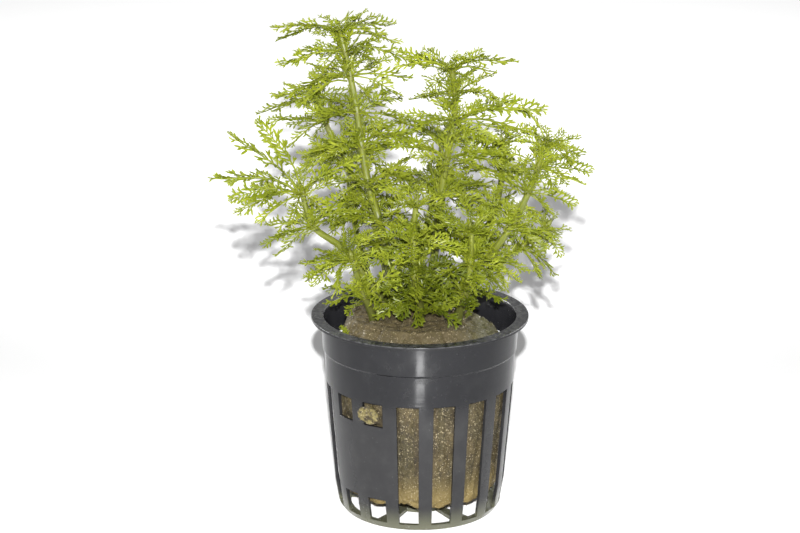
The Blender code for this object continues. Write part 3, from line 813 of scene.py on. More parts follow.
# %% The leaf models
# Length in millimetres, pairs of branches, reach of the longest, and their shapes
LEAF_SORTS = (
    (5.0, 4, 1.8, narrow),
    (8.5, 6, 2.6, narrow),
    (12.5, 8, 3.1, narrow),
    (19.0, 12, 3.9, narrow),
    (9.5, 5, 3.0, broad),
)
BROAD_SORT = 4
LEAF_KINDS_EACH = 5
# Between which values the stalk, the arch, the sway and the twist of a leaf lie
STALKS = (0.24, 0.38)
ARCHES = (0.02, 0.12)
SWAYS = (-0.10, 0.10)
TWISTS = (-0.9, 0.9)
# Radius of a midrib in millimetres, as (least, more for each millimetre of length)
MIDRIB_RADIUS = (0.15, 0.007)


def make_leaf(sort, number):
    length, pairs, reach, branches = LEAF_SORTS[sort]
    leaf = new_object(f"leaf_{sort}_{number}", [(0, 0, 0)], [])
    add_tree(leaf, leaf_tree, Length=length * MM, Stalk=rng.uniform(*STALKS), Pairs=pairs,
             Reach=reach * MM, Arch=rng.uniform(*ARCHES), Sway=rng.uniform(*SWAYS),
             Twist=rng.uniform(*TWISTS), Midrib=(MIDRIB_RADIUS[0] + MIDRIB_RADIUS[1] * length) * MM,
             Seed=100 * sort + number, Branches=branches)
    return baked(leaf)


leaf_shapes = [make_leaf(sort, number)
               for sort in range(len(LEAF_SORTS)) for number in range(LEAF_KINDS_EACH)]
leaf_models = collection_of("leaf models", leaf_shapes)
print("leaf triangles", [triangles(leaf) for leaf in leaf_shapes[::LEAF_KINDS_EACH]])

# %% [markdown]
# ## The leaf rings
#
# Each ring of the real plant has more leaves than the solid one, which keeps only
# the main blades. So every gap between two solid leaves gets younger leaves, some
# above and some below their neighbours and never longer than they are. Short ones
# stand up round the stem, thickest near the end of a shoot and in the low rings,
# and old ones spread over the rockwool from each stem's foot.
#
# The tree sets one leaf on each point. The point carries where the leaf aims, which
# side is up, its size, its age with its painted shade and which of the leaf models it takes.

# %% The tree of a leaf ring
def ring_tree():
    made, given = geometry_tree("leaf ring", Models=("Collection", None))
    kind = stored(made, "kind", "INT")
    aim, up, size = (stored(made, name, "FLOAT_VECTOR") for name in ("aim", "up", "size"))
    placed = instances(made, given["Geometry"], given["Models"], kind, aim, up, size)
    return end_tree(made, placed, leaf_green)


ring_nodes = ring_tree()
print(f"a ring tree of {len(ring_nodes.nodes)} nodes")

# %% Directions at a ring
def stem_of(ring):
    return ring.split("_leaves_")[0] + "_stem"


def stem_direction(ring):
    """Which way the stem runs at a ring."""
    way, _ = ways[stem_of(ring)]
    centre, _ = rings[ring]
    nearest = min(range(len(way) - 1), key=lambda k: (way[k].lerp(way[k + 1], 0.5) - centre).length)
    return (way[nearest + 1] - way[nearest]).normalized()


def axes_across(forward):
    """Two directions square to a stem and to each other."""
    side = forward.orthogonal().normalized()
    return side, forward.cross(side)


print(f"the highest ring's stem runs along {tuple(round(c, 2) for c in stem_direction('tall_leaves_1'))}")

# %% The blades of a ring
# Degrees between the leaves of a full ring, and how far one may stand off its share of a gap
LEAF_SPACING = 28.0
GAP_CHANCE = 0.10
# Below this height the leaves have broad lobes more often than not
BROAD_BELOW = 66.0 * MM
# The young leaves there stay this near to the pot's axis, so that the rim shows
LOW_LEAF_REACH = 19.0 * MM
# How far a leaf is banked about its midrib, for the solid blades and for the young ones
SOLID_BANK = 0.6
YOUNG_BANK = 0.9
# A young leaf has this share of its neighbours' length, and loses up to half when it is steep
YOUNG_SHARE = (0.62, 0.92)
STEEP_LOSS = 0.50
# By how much the upper young leaves rise past their neighbours, most in the top ring and below
UPPER_LEAST = 0.10
UPPER_MOST_TOP_RING = 0.40
UPPER_MOST = 1.00
# The same of the lower young leaves, least in a low ring and above
LOWER_LEAST_LOW_RING = -0.05
LOWER_LEAST = -0.55
LOWER_MOST = 0.05
# A solid leaf starts at this share of the way from the ring's centre to its root
LEAF_START = 0.35
# Where a young leaf starts, in millimetres from the stem's axis and at most along it
STEM_RADIUS = 0.9
RING_HALF_DEPTH = 1.0


def filled_ring(name):
    """Every leaf of a ring as (base, tip, up), with younger ones in its gaps."""
    centre, solid = rings[name]
    forward = stem_direction(name)
    side, across = axes_across(forward)

    def azimuth(leaf):
        aim = leaf[1] - centre
        return math.degrees(math.atan2(aim.dot(across), aim.dot(side))) % 360

    def rise(leaf):
        return (leaf[1] - centre).normalized().dot(forward)

    solid = sorted(solid, key=azimuth)
    # The lowest rings keep clear of the rim, and the highest don't outgrow the shoot
    low = centre.z < BROAD_BELOW
    lowest = LOWER_LEAST_LOW_RING if low else LOWER_LEAST
    steepest = UPPER_MOST_TOP_RING if name.endswith("_leaves_1") else UPPER_MOST
    leaves = []
    for number, leaf in enumerate(solid):
        root, tip, up = leaf
        up = up if up.dot(forward) > 0 else -up
        up = (up + up.cross(tip - root).normalized() * rng.uniform(-SOLID_BANK, SOLID_BANK)).normalized()
        leaves.append((centre.lerp(root, LEAF_START), tip, up))
        after = solid[(number + 1) % len(solid)]
        gap = (azimuth(after) - azimuth(leaf)) % 360
        new = max(1, round(gap / LEAF_SPACING) - 1)
        for step in range(1, new + 1):
            share = step / (new + 1) + rng.uniform(-GAP_CHANCE, GAP_CHANCE)
            turn = math.radians(azimuth(leaf) + gap * share)
            reach = (tip - centre).length * (1 - share) + (after[1] - centre).length * share
            lift = rise(leaf) * (1 - share) + rise(after) * share
            is_upper = (number + step) % 2
            lift += rng.uniform(UPPER_LEAST, steepest) if is_upper else rng.uniform(lowest, LOWER_MOST)
            flat = side * math.cos(turn) + across * math.sin(turn)
            aim = (flat + forward * lift).normalized()
            banked = (forward + flat.cross(forward) * rng.uniform(-YOUNG_BANK, YOUNG_BANK)).normalized()
            # A steep leaf is a young one, so it is short
            reach *= rng.uniform(*YOUNG_SHARE) * (1.0 - STEEP_LOSS * max(0.0, aim.dot(forward)))
            place = centre + forward * rng.uniform(-RING_HALF_DEPTH, RING_HALF_DEPTH) * MM
            while low and (place + aim * reach).xy.length > LOW_LEAF_REACH:
                reach *= 0.9
            leaves.append((place + flat * STEM_RADIUS * MM, place + aim * reach, banked))
    return leaves


print(f"{len(ring_names)} rings to fill, with a leaf every {LEAF_SPACING:.0f} degrees")

# %% The short leaves
# How far short leaves open from the stem and their length in millimetres, by their place
SHORT_LEAVES = {
    "ring": ((0.12, 0.9), (4.5, 9.0)),
    "top ring": ((0.9, 2.2), (2.4, 4.0)),
    "tip": ((0.5, 1.8), (1.8, 3.0)),
    "foot": ((2.5, 9.0), (6.5, 10.5)),
}
# How many there are in each ring, from the top one down. The last number is that of all the rest
INNER_LEAVES = (7, 9, 7, 5, 4)
TIP_LEAVES = 8
TIP_DEPTH = 2.6
# The foot of the bunch is denser, so that its stems hardly show
INNER_LEAVES_LOW = 10
FOOT_LEAVES = 11
FOOT_LEAF_HEIGHT = 2.0 * MM
FOOT_LEAF_REACH = 17.5 * MM
# Where a short leaf starts, in millimetres from the stem's axis and down along it
SHORT_LEAF_START = 0.6
SHORT_LEAF_DROP = (-0.4, 1.2)
SHORT_LEAF_TURN = 0.3
# How far the top side of a short leaf leans in over the stem
SHORT_LEAF_LEAN = 0.6


def short_leaves(place, forward, count, sort):
    """Short leaves round a stem that stand up along it, more or less opened."""
    opening, lengths = SHORT_LEAVES[sort]
    side, across = axes_across(forward)
    leaves = []
    for number in range(count):
        turn = math.tau * (number + rng.uniform(-SHORT_LEAF_TURN, SHORT_LEAF_TURN)) / count
        flat = side * math.cos(turn) + across * math.sin(turn)
        aim = (flat * rng.uniform(*opening) + forward).normalized()
        base = place + (flat * SHORT_LEAF_START - forward * rng.uniform(*SHORT_LEAF_DROP)) * MM
        tip = base + aim * rng.uniform(*lengths) * MM
        leaves.append((base, tip, (forward - flat * SHORT_LEAF_LEAN).normalized()))
    return leaves


def inner_leaves(name, number):
    """The short leaves that stand between a ring and the one above it, or at the tip."""
    centre, _ = rings[name]
    forward = stem_direction(name)
    count = INNER_LEAVES[min(number, len(INNER_LEAVES)) - 1]
    if centre.z < BROAD_BELOW:
        count = INNER_LEAVES_LOW
    if number > 1:
        return short_leaves(centre, forward, count, "ring")
    way, _ = ways[stem_of(name)]
    tip = way[-1] - forward * TIP_DEPTH * MM
    return short_leaves(centre, forward, count, "top ring") + short_leaves(tip, forward, TIP_LEAVES, "tip")


def foot_leaves(name):
    """Old leaves that spread over the rockwool round a stem's foot."""
    way, _ = ways[stem_of(name)]
    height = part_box("rockwool_plug")[1][2] + FOOT_LEAF_HEIGHT
    above = next(k for k in range(1, len(way)) if way[k].z > height)
    share = (height - way[above - 1].z) / (way[above].z - way[above - 1].z)
    place = way[above - 1].lerp(way[above], share)
    leaves = short_leaves(place, Vector((0, 0, 1)), FOOT_LEAVES, "foot")
    return [leaf for leaf in leaves if leaf[1].xy.length < FOOT_LEAF_REACH]


print(f"{TIP_LEAVES} short leaves at each tip and up to {FOOT_LEAVES} round each foot")

# %% From leaves to a piece
# Leaves longer than this, in millimetres, always have narrow lobes
LONGEST_BROAD = 12.5
BROAD_CHANCE = 0.7
# A leaf that is drawn longer than its model grows less in width than in length
WIDTH_POWER = 0.6
WIDTH_CHANCE = (0.92, 1.10)
# What a point carries, as (attribute, type, field of its values), in the order of a row
POINT_LAYOUT = (("aim", "FLOAT_VECTOR", "vector"), ("up", "FLOAT_VECTOR", "vector"),
                ("size", "FLOAT_VECTOR", "vector"), ("kind", "INT", "value"), ("tone", "FLOAT", "value"))


def leaf_row(base, tip, up, age_and_shade, may_be_broad):
    """The place of the point that carries a leaf, and its attributes."""
    aim = tip - base
    length = aim.length / MM
    narrow_sorts = range(BROAD_SORT)
    sort = min(narrow_sorts, key=lambda k: abs(math.log(LEAF_SORTS[k][0] / length)))
    if may_be_broad and length < LONGEST_BROAD and rng.random() < BROAD_CHANCE:
        sort = BROAD_SORT
    size = length / LEAF_SORTS[sort][0]
    wide = size ** WIDTH_POWER * rng.uniform(*WIDTH_CHANCE)
    kind = sort * LEAF_KINDS_EACH + rng.randrange(LEAF_KINDS_EACH)
    return (base, aim.normalized(), up, (size, wide, wide), kind, age_and_shade)


def leafy_piece(name, rows, *replaced):
    """Points with the leaves' attributes, dressed by the ring tree."""
    made = new_object(name, [row[0] for row in rows], [])
    for column, (title, kind, field) in enumerate(POINT_LAYOUT, start=1):
        values = np.array([row[column] for row in rows]).ravel()
        made.data.attributes.new(title, kind, "POINT").data.foreach_set(field, values)
    add_tree(made, ring_nodes, Models=leaf_models)
    baked(made)
    return finish_piece(made, "leaf", *replaced)


print("leaf pieces can be made")

# %% The leaf rings
# Age and painted shade of a ring at a few heights in millimetres: old leaves are olive.
# The low rings are the oldest and carry painted shade as well, those in the middle are
# the freshest and carry painted light against their shade in the bunch, and the dense
# tips are a little darker
AGE_HEIGHTS = (66.0, 76.0, 84.0, 98.0, 118.0)
AGES_AND_SHADES = (0.74, 0.10, -0.12, 0.00, 0.28)
# Near the pot's axis the leaves carry painted shade, the shade inside the bunch, and the
# outer shoots stay fresher, by their distance from the pot's axis
OUTER_DISTANCES = (10.0, 18.0)
OUTER_SHADE_SHARES = (1.0, 0.3)
# What chance adds to the age of a blade and of an inner leaf, and the age of one at the foot
BLADE_AGE_CHANCE = (-0.1, 0.6)
INNER_AGE_CHANCE = (-0.2, 0.4)
FOOT_LEAF_AGES = (0.6, 1.0)


def age_of(name):
    centre, _ = rings[name]
    age_and_shade = float(np.interp(centre.z / MM, AGE_HEIGHTS, AGES_AND_SHADES))
    return age_and_shade * float(np.interp(centre.xy.length / MM, OUTER_DISTANCES, OUTER_SHADE_SHARES))


def ring_piece(name):
    number = int(name.split("_leaves_")[1])
    low = rings[name][0].z < BROAD_BELOW
    # The age carries painted shade low and inside the bunch, and painted light in the middle
    age_and_shade = age_of(name)
    rows = [leaf_row(*leaf, age_and_shade + rng.uniform(*BLADE_AGE_CHANCE), low) for leaf in filled_ring(name)]
    rows += [leaf_row(*leaf, age_and_shade + rng.uniform(*INNER_AGE_CHANCE), False)
             for leaf in inner_leaves(name, number)]
    if f"{name.removesuffix(str(number))}{number + 1}" not in rings:
        rows += [leaf_row(*leaf, rng.uniform(*FOOT_LEAF_AGES), True) for leaf in foot_leaves(name)]
    return leafy_piece(f"feathered_{name}", rows, name)


ring_pieces = [ring_piece(name) for name in ring_names]
print(f"{sum(triangles(p) for p in ring_pieces)} leaf triangles, most in a ring",
      max(triangles(p) for p in ring_pieces))

# %% [markdown]
# ## The stems
#
# A stem is a soft tube, a little swollen where its leaves join. A smooth curve is
# drawn through the middles of the solid stem's rings, and the tree turns it into a
# tube whose radius is read from the points. Fine ridges run along it.

# %% The tree of a stem
def stem_tree():
    made, given = geometry_tree("stem", Sides=("Int", 14), Ridges=("Float", 0.0002))
    curve = made.field("GeometryNodeMeshToCurve", {}, {"Mesh": given["Geometry"]})
    # Output 1 of Spline Parameter is the length so far, and output 0 is its share
    curve = store(made, curve, "reach", made.field("GeometryNodeSplineParameter", {}, {}, 1))
    values = {"Resolution": given["Sides"], "Radius": 1.0}
    section = made.field("GeometryNodeCurvePrimitiveCircle", {}, values)
    section = store(made, section, "turn", made.field("GeometryNodeSplineParameter"))
    tube = made.field("GeometryNodeCurveToMesh", {}, {
        "Curve": curve, "Profile Curve": section, "Scale": stored(made, "width"), "Fill Caps": True})
    smooth = made.field("GeometryNodeSetShadeSmooth", {}, {"Geometry": tube})
    ridge = made.stretched_noise(made.field("GeometryNodeInputPosition"), 900.0, 120.0, 2.0) - 0.5
    return end_tree(made, push(made, smooth, ridge * given["Ridges"]), stem_green)


stem_nodes = stem_tree()
print(f"a stem tree of {len(stem_nodes.nodes)} nodes")

# %% The stems
STEM_STEP = 0.7 * MM
KNOT_HALF_LENGTH = 1.5 * MM
KNOT_SWELL = 0.24
# The ridges stand out from the tube, so it is a little thinner than the solid stem
TUBE_SHARE = 0.92
# The solid stem ends in points, and the tube in radii of these shares of their neighbours'
FOOT_SHARE = 0.8
TIP_SHARE = 0.35


def smooth_way(way, radii):
    """Closely spaced points on a curve through the given ones, with the radius of each."""
    ends = [2 * way[0] - way[1], *way, 2 * way[-1] - way[-2]]
    points, widths = [], []
    for k in range(len(way) - 1):
        a, b, c, d = ends[k:k + 4]
        steps = max(2, round((c - b).length / STEM_STEP))
        for step in range(steps):
            t = step / steps
            points.append(0.5 * (2 * b + (c - a) * t + (2 * a - 5 * b + 4 * c - d) * t * t
                                 + (3 * b - a - 3 * c + d) * t ** 3))
            widths.append(radii[k] * (1 - t) + radii[k + 1] * t)
    points.append(way[-1])
    widths.append(radii[-1])
    return points, widths


def stem_piece(name):
    way, radii = ways[name]
    radii = [radii[1] * FOOT_SHARE, *radii[1:-1], radii[-2] * TIP_SHARE]
    points, widths = smooth_way(way, radii)
    knots = [rings[ring][0] for ring in ring_names if stem_of(ring) == name]
    gaps = [min((point - knot).length for knot in knots) for point in points]
    knot_shares = [max(0.0, 1.0 - gap / KNOT_HALF_LENGTH) for gap in gaps]
    widths = [w * TUBE_SHARE * (1 + KNOT_SWELL * k) for w, k in zip(widths, knot_shares)]
    edges = [(i, i + 1) for i in range(len(points) - 1)]
    made = new_object(name.removesuffix("_stem") + "_stalk", points, [], edges)
    for title, values in (("width", widths), ("knot", knot_shares)):
        made.data.attributes.new(title, "FLOAT", "POINT").data.foreach_set("value", values)
    add_tree(made, stem_nodes)
    baked(made)
    return finish_piece(made, "stem", name)


stem_pieces = [stem_piece(name) for name in stem_names]
print(f"{len(stem_pieces)} stems, {sum(triangles(p) for p in stem_pieces)} triangles")

# %% [markdown]
# ## The net pot
#
# The pot is one moulding: a base with a hub and spokes, a wall with sixteen tall
# slots, a plain collar and a flange. A panel closes two of the slots but for a
# small window at each end. It is a sheet of cells with a front and a back. A cell
# that falls in a slot is left out, and the edges that this opens are closed with
# walls. The columns are fine enough to look round, and a Bevel takes the hard line
# off every edge, as a mould does.

# %% The outline of the net pot
_, pot_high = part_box("net_pot")
RIM_RADIUS = pot_high[0] / MM
POT_HEIGHT = pot_high[2] / MM
RIM_THICKNESS = 0.8
RIM_INNER_RADIUS = 24.5
WALL_THICKNESS = 0.9
BASE_THICKNESS = 1.0
BASE_FLAT_RADIUS = 19.7
SMALL_FILLET = 0.3
HUB_RADIUS = 8.0
BASE_RING_RADIUS = 17.6
# Spokes join the hub to the ring of the base; angles are in degrees from the front
SPOKE_COUNT = 5
SPOKE_FIRST = -34.2
SPOKE_HALF_ANGLE = 7.3
COLLAR_BOTTOM = 42.0
# Outer radius of the wall at a few heights, as (height, radius)
WALL_OUTLINE = ((0.6, 20.4), (1.8, 20.8), (8.0, 21.75), (28.0, 23.4), (34.0, 23.85), (42.0, 24.2))
COLLAR_FOOT = (24.6, 42.5)
COLLAR_HEAD = (24.95, POT_HEIGHT - RIM_THICKNESS)
SLOT_COUNT = 16
SLOT_FIRST = -7.8
SLOT_HALF_ANGLE = 6.75
SLOT_BOTTOM = 1.8
SLOT_TOP = 34.0
PANEL_BOTTOM = 8.0
PANEL_TOP = 28.0
PANEL_SLOTS = (14, 15)


def pot_outlines():
    """Outer and inner (radius, height) at each border between rows of cells."""
    rows = [((HUB_RADIUS, 0.0), (HUB_RADIUS, BASE_THICKNESS)),
            ((BASE_RING_RADIUS, 0.0), (BASE_RING_RADIUS, BASE_THICKNESS)),
            ((BASE_FLAT_RADIUS, 0.0), (BASE_FLAT_RADIUS - SMALL_FILLET, BASE_THICKNESS))]
    heights, radii = zip(*WALL_OUTLINE)
    for height in (SLOT_BOTTOM, PANEL_BOTTOM, PANEL_TOP, SLOT_TOP, COLLAR_BOTTOM):
        radius = float(np.interp(height, heights, radii))
        rows.append(((radius, height), (radius - WALL_THICKNESS, height)))
    rows.append((COLLAR_FOOT, (COLLAR_FOOT[0] - WALL_THICKNESS, COLLAR_FOOT[1])))
    rows.append((COLLAR_HEAD, (COLLAR_HEAD[0] - WALL_THICKNESS, COLLAR_HEAD[1])))
    rows.append(((COLLAR_HEAD[0] + SMALL_FILLET, COLLAR_HEAD[1]), (RIM_INNER_RADIUS, POT_HEIGHT)))
    rows.append(((RIM_RADIUS, COLLAR_HEAD[1]), (RIM_RADIUS, POT_HEIGHT)))
    return rows


outlines = pot_outlines()
print(f"pot {2 * RIM_RADIUS:.1f} mm across, {POT_HEIGHT:.1f} mm high, {len(outlines)} rows")

# %% Which cells of the net pot are plastic
SLOT_PARTS = 6
RIB_PARTS = 4
SLOT_COLUMNS = SLOT_PARTS + RIB_PARTS
SLOT_PITCH = 360.0 / SLOT_COUNT
SPOKE_PITCH = 360.0 / SPOKE_COUNT


def pot_angles():
    """Angles of the borders between columns, from the front and positive to +X."""
    angles = []
    for slot in range(SLOT_COUNT):
        left = SLOT_FIRST + SLOT_PITCH * slot - SLOT_HALF_ANGLE
        angles += [left + 2 * SLOT_HALF_ANGLE * k / SLOT_PARTS for k in range(SLOT_PARTS)]
        rib = left + 2 * SLOT_HALF_ANGLE
        angles += [rib + (SLOT_PITCH - 2 * SLOT_HALF_ANGLE) * k / RIB_PARTS for k in range(RIB_PARTS)]
    return [math.radians(angle) for angle in angles]


def column_is_spoke(slot, part):
    """Whether a rib, or the half of a slot that a column is in, has its middle in a spoke."""
    from_slot = -SLOT_HALF_ANGLE / 2 if part < SLOT_PARTS / 2 else SLOT_HALF_ANGLE / 2
    if part >= SLOT_PARTS:
        from_slot = SLOT_PITCH / 2
    past_spoke = (SLOT_FIRST + SLOT_PITCH * slot + from_slot - SPOKE_FIRST) % SPOKE_PITCH
    return min(past_spoke, SPOKE_PITCH - past_spoke) < SPOKE_HALF_ANGLE


def cell_is_solid(low, high, column):
    """Whether the cell between two outlines has plastic in it."""
    slot, part = divmod(column, SLOT_COLUMNS)
    is_rib = part >= SLOT_PARTS
    if high[1] == 0.0 and HUB_RADIUS <= low[0] < BASE_RING_RADIUS:
        return column_is_spoke(slot, part)
    if SLOT_BOTTOM <= low[1] < SLOT_TOP and not is_rib:
        return PANEL_BOTTOM <= low[1] < PANEL_TOP and slot in PANEL_SLOTS
    return True


print(f"{SLOT_COUNT * SLOT_COLUMNS} columns of cells")

# %% Sewing the cells together
def pot_shell():
    """Sew the cells' fronts, backs and edges into one closed surface."""
    shell = bmesh.new()
    angles = pot_angles()
    count = len(angles)
    sheets = []
    for side in (0, 1):
        rows = []
        for row in outlines:
            radius, height = row[side]
            rows.append([shell.verts.new((radius * math.sin(a), -radius * math.cos(a), height))
                         for a in angles])
        sheets.append(rows)
    front, back = sheets
    solid = [[cell_is_solid(low[0], high[0], c) for c in range(count)]
             for low, high in zip(outlines, outlines[1:])]

    def wall(row_a, column_a, row_b, column_b):
        """Join the front to the back along the line from a to b."""
        column_a, column_b = column_a % count, column_b % count
        shell.faces.new((front[row_a][column_a], front[row_b][column_b],
                         back[row_b][column_b], back[row_a][column_a]))

    for row, cells in enumerate(solid):
        for column in (c for c in range(count) if cells[c]):
            after = (column + 1) % count
            for sheet in sheets:
                shell.faces.new((sheet[row][column], sheet[row][after],
                                 sheet[row + 1][after], sheet[row + 1][column]))
            if not cells[column - 1]:
                wall(row, column, row + 1, column)
            if not cells[after]:
                wall(row, after, row + 1, after)
            if row > 0 and not solid[row - 1][column]:
                wall(row, column, row, after)
            if row + 1 < len(solid) and not solid[row + 1][column]:
                wall(row + 1, column, row + 1, after)
    for sheet, height in ((front, 0.0), (back, BASE_THICKNESS)):
        pole = shell.verts.new((0.0, 0.0, height))
        for column in range(count):
            shell.faces.new((pole, sheet[0][column], sheet[0][(column + 1) % count]))
    for column in range(count):
        if not solid[0][column]:
            wall(0, column, 0, column + 1)
        wall(len(solid), column, len(solid), column + 1)
    bmesh.ops.scale(shell, vec=(MM, MM, MM), verts=shell.verts)
    bmesh.ops.recalc_face_normals(shell, faces=shell.faces)
    return shell


sewn = pot_shell()
print(f"{len(sewn.faces)} faces in the pot's sheet")

# %% The finished pot
MOULD_EDGE = 0.12 * MM
# Edges that turn by more than this are rounded, in degrees
SHARPEST_SMOOTH = 30


def pot_piece(shell):
    made = new_object("slotted_pot", [], [])
    shell.to_mesh(made.data)
    shell.free()
    made.data.shade_smooth()
    edge = made.modifiers.new("mould edge", "BEVEL")
    edge.width = MOULD_EDGE
    edge.segments = 2
    edge.limit_method = "ANGLE"
    edge.angle_limit = math.radians(SHARPEST_SMOOTH)
    edge.harden_normals = True
    return baked(made)


pot = pot_piece(sewn)
print(f"pot of {triangles(pot)} triangles")

# %% [markdown]
# ## Black plastic
#
# Cheap black plastic is charcoal in the light, because it mirrors the white floor.
# It has fine rings from the mould round it, cloudy scuffs, scratches and a film of
# lime on the flange and at the foot, where water dries. All of that is noise at
# several scales. The rings are noise that is squeezed upwards. The inside is painted
# a little greyer than the outside, as painted light that reaches into the pot.

# %% Black plastic
# Radius of the middle of the wall, as (at the bottom, more for each millimetre of height)
WALL_LINE = (20.65, 0.0742)
PLASTIC_BLACKS = (rgb(0.0035, 0.0036, 0.0048), rgb(0.0070, 0.0072, 0.0092))
WORN_GREY = rgb(0.062, 0.061, 0.060)
LIME_GREY = rgb(0.040, 0.041, 0.040)
FOOT_FILM = rgb(0.120, 0.122, 0.078)
FLANGE_FILM = rgb(0.095, 0.096, 0.095)
# Painted light for the inside of the wall
INSIDE_PAINTED_LIGHT = rgb(0.016, 0.016, 0.018)


def plastic_material():
    material, made = new_material("black plastic")
    place = object_place(made)
    height = coordinate(made, place, 2)
    cloud = made.noise(place, 210.0, 4.0, 0.62)
    grain = made.noise(place, 1400.0, 3.0)
    mould_rings = made.stretched_noise(place, 40.0, 1900.0, 2.0)
    streaks = made.stretched_noise(place, 650.0, 40.0, 3.0)
    flange = made.step(height, POT_HEIGHT - 0.35, POT_HEIGHT - 0.1)
    foot = made.step(height, 7.0, 0.5)
    scuffs = made.step(cloud, 0.50, 0.66)
    lime = made.math("MAXIMUM", scuffs * (0.10 + 0.60 * flange + 0.40 * foot),
                     made.step(grain, 0.62, 0.74) * 0.20, use_clamp=True)
    color = made.mix(streaks, *PLASTIC_BLACKS)
    color = made.mix(made.step(height, 36.0, 29.0) * (0.10 + 0.25 * cloud), color, WORN_GREY)
    color = made.mix(lime, color, LIME_GREY)
    color = made.mix(foot * 0.70, color, FOOT_FILM)
    mottle = made.step(made.noise(place, 900.0, 3.0), 0.38, 0.62)
    color = made.mix(flange * (0.10 + 0.50 * mottle), color, FLANGE_FILM)
    # Painted light: the inside of the wall is greyer, as light that reaches into the pot
    past_wall = from_axis(made, place) - (WALL_LINE[0] + WALL_LINE[1] * height)
    painted_light_inside = made.step(past_wall, 0.15, -0.15) * made.step(height, 2.0, 4.0)
    color = made.mix(painted_light_inside * 0.8, color, INSIDE_PAINTED_LIGHT)
    # Wet patches are smoother, so they break the long highlight down the front
    wet = made.step(made.noise(place, 150.0, 2.0), 0.44, 0.58)
    roughness = 0.16 + 0.12 * cloud + 0.30 * lime - 0.09 * wet
    relief = mould_rings * 1.10 + grain * 0.40 + cloud * 1.0
    plastic = surface(made, color, roughness, relief, 0.55, 0.025 * MM, specular=0.32)
    return finished(material, made, plastic)


pot.data.materials.append(plastic_material())
finish_piece(pot, "pot_plastic", "net_pot")
print("pot finished")

# %% [markdown]
# ## Rockwool
#
# Rockwool is stone spun into fine fibres, pressed and cut. Wet, it is olive brown,
# and it creases where it is folded round the roots. Its glints are painted, as pale
# specks in its colour, its pits carry painted shade, and its top is lighter, partly in
# its own colour and partly as painted light. It is paler at its foot, and so is the
# tuft that bulges out of a slot. A voxel Remesh gives the solid plug an even skin. The
# tree presses creases and pits into it, all inwards, and scatters loose fibres over it
# that lie nearly flat.

# %% Rockwool material
WOOL_BROWNS = (rgb(0.029, 0.020, 0.0060), rgb(0.066, 0.047, 0.016))
LAYER_OLIVE = rgb(0.048, 0.041, 0.014)
TUFT_TAN = rgb(0.150, 0.125, 0.042)
# Painted shade for the dark pits in the wool
PAINTED_PIT_SHADE = rgb(0.32, 0.28, 0.22)
FOOT_TAN = rgb(0.185, 0.135, 0.042)
# The top's own brown, made lighter as painted light against the leaves' shadow
TOP_BROWN_AND_LIGHT = rgb(0.098, 0.074, 0.028)
# Painted glints: the colour of the pale specks that stand in for wet sparkle
PAINTED_GLINT_TAN = rgb(0.370, 0.310, 0.190)
ALGAE_GREEN = rgb(0.060, 0.066, 0.022)
FIBRE_BROWN = rgb(0.128, 0.104, 0.052)


def wool_material():
    material, made = new_material("wet rockwool")
    place = object_place(made)
    height = coordinate(made, place, 2)
    blotches = made.step(made.noise(place, 110.0, 3.0), 0.35, 0.65)
    layers = made.step(made.stretched_noise(place, 420.0, 60.0, 3.0), 0.35, 0.65)
    specks = made.noise(place, 2600.0, 2.0)
    pits = made.noise(place, 1100.0, 3.0)
    # Painted glints: pale specks in the colour stand in for wet sparkle, where the wool is also smoother
    painted_glints = made.step(specks, 0.60, 0.68)
    # The tuft is what lies further out than the rest of the plug, below the collar
    tuft = made.step(from_axis(made, place), 22.4, 23.4) * made.step(height, 40.0, 36.0)
    green_end = made.step(coordinate(made, place, 0), 8.0, 17.0) * made.step(height, 44.0, 50.0)
    color = made.mix(blotches, *WOOL_BROWNS)
    color = made.mix(layers * 0.5, color, LAYER_OLIVE)
    color = made.mix(tuft * made.step(pits, 0.40, 0.60), color, TUFT_TAN)
    # Painted shade: dark pits are painted where the fine pit noise is low
    color = made.mix(made.step(pits, 0.52, 0.36) * 0.75, color, PAINTED_PIT_SHADE, "MULTIPLY")
    color = made.mix(made.step(height, 16.0, 6.0) * 0.75, color, FOOT_TAN)
    # Partly painted light: the top is lighter in its own brown and against the shadow of the leaves
    color = made.mix(made.step(height, 46.5, 50.5) * 0.45, color, TOP_BROWN_AND_LIGHT)
    color = made.mix(painted_glints * 0.70, color, PAINTED_GLINT_TAN)
    color = made.mix(green_end * 0.6, color, ALGAE_GREEN)
    color = made.mix(attribute(made, "fibre") * 0.55, color, FIBRE_BROWN)
    return finished(material, made, surface(made, color, 0.80 - 0.50 * painted_glints, specks + pits, 0.8, 0.2 * MM))


wool_brown = wool_material()
print("rockwool material ready")

# %% Rockwool fibres
FIBRE_KINDS = 3
FIBRE_BEND = (0.08, 0.22)
# A fibre is this thick at its start, and half as thick at its end
FIBRE_RADIUS = 0.028
FIBRE_STATIONS = (0.0, 0.33, 0.67, 1.0)


def make_fibre(kind):
    """A bent strand along +X, one unit long, of four three-sided sections."""
    verts, faces = [], []
    bend = rng.uniform(*FIBRE_BEND)
    for step, share in enumerate(FIBRE_STATIONS):
        thick = FIBRE_RADIUS * (1.0 - 0.5 * share)
        for corner in range(3):
            turn = math.tau * corner / 3
            aside = bend * math.sin(math.pi * share) + thick * math.cos(turn)
            verts.append((share, aside, thick * math.sin(turn)))
        if step:
            a = 3 * (step - 1)
            for i in range(3):
                j = (i + 1) % 3
                faces.append((a + i, a + j, a + j + 3, a + i + 3))
    last = len(verts) - 3
    faces += [(2, 1, 0), (last, last + 1, last + 2)]
    made = new_object(f"fibre_{kind}", verts, faces)
    made.data.attributes.new("fibre", "FLOAT", "POINT").data.foreach_set("value", [1.0] * len(verts))
    return made


fibres = collection_of("fibres", [make_fibre(kind) for kind in range(FIBRE_KINDS)])

# %% Rockwool surface
WOOL_VOXEL = 0.5 * MM


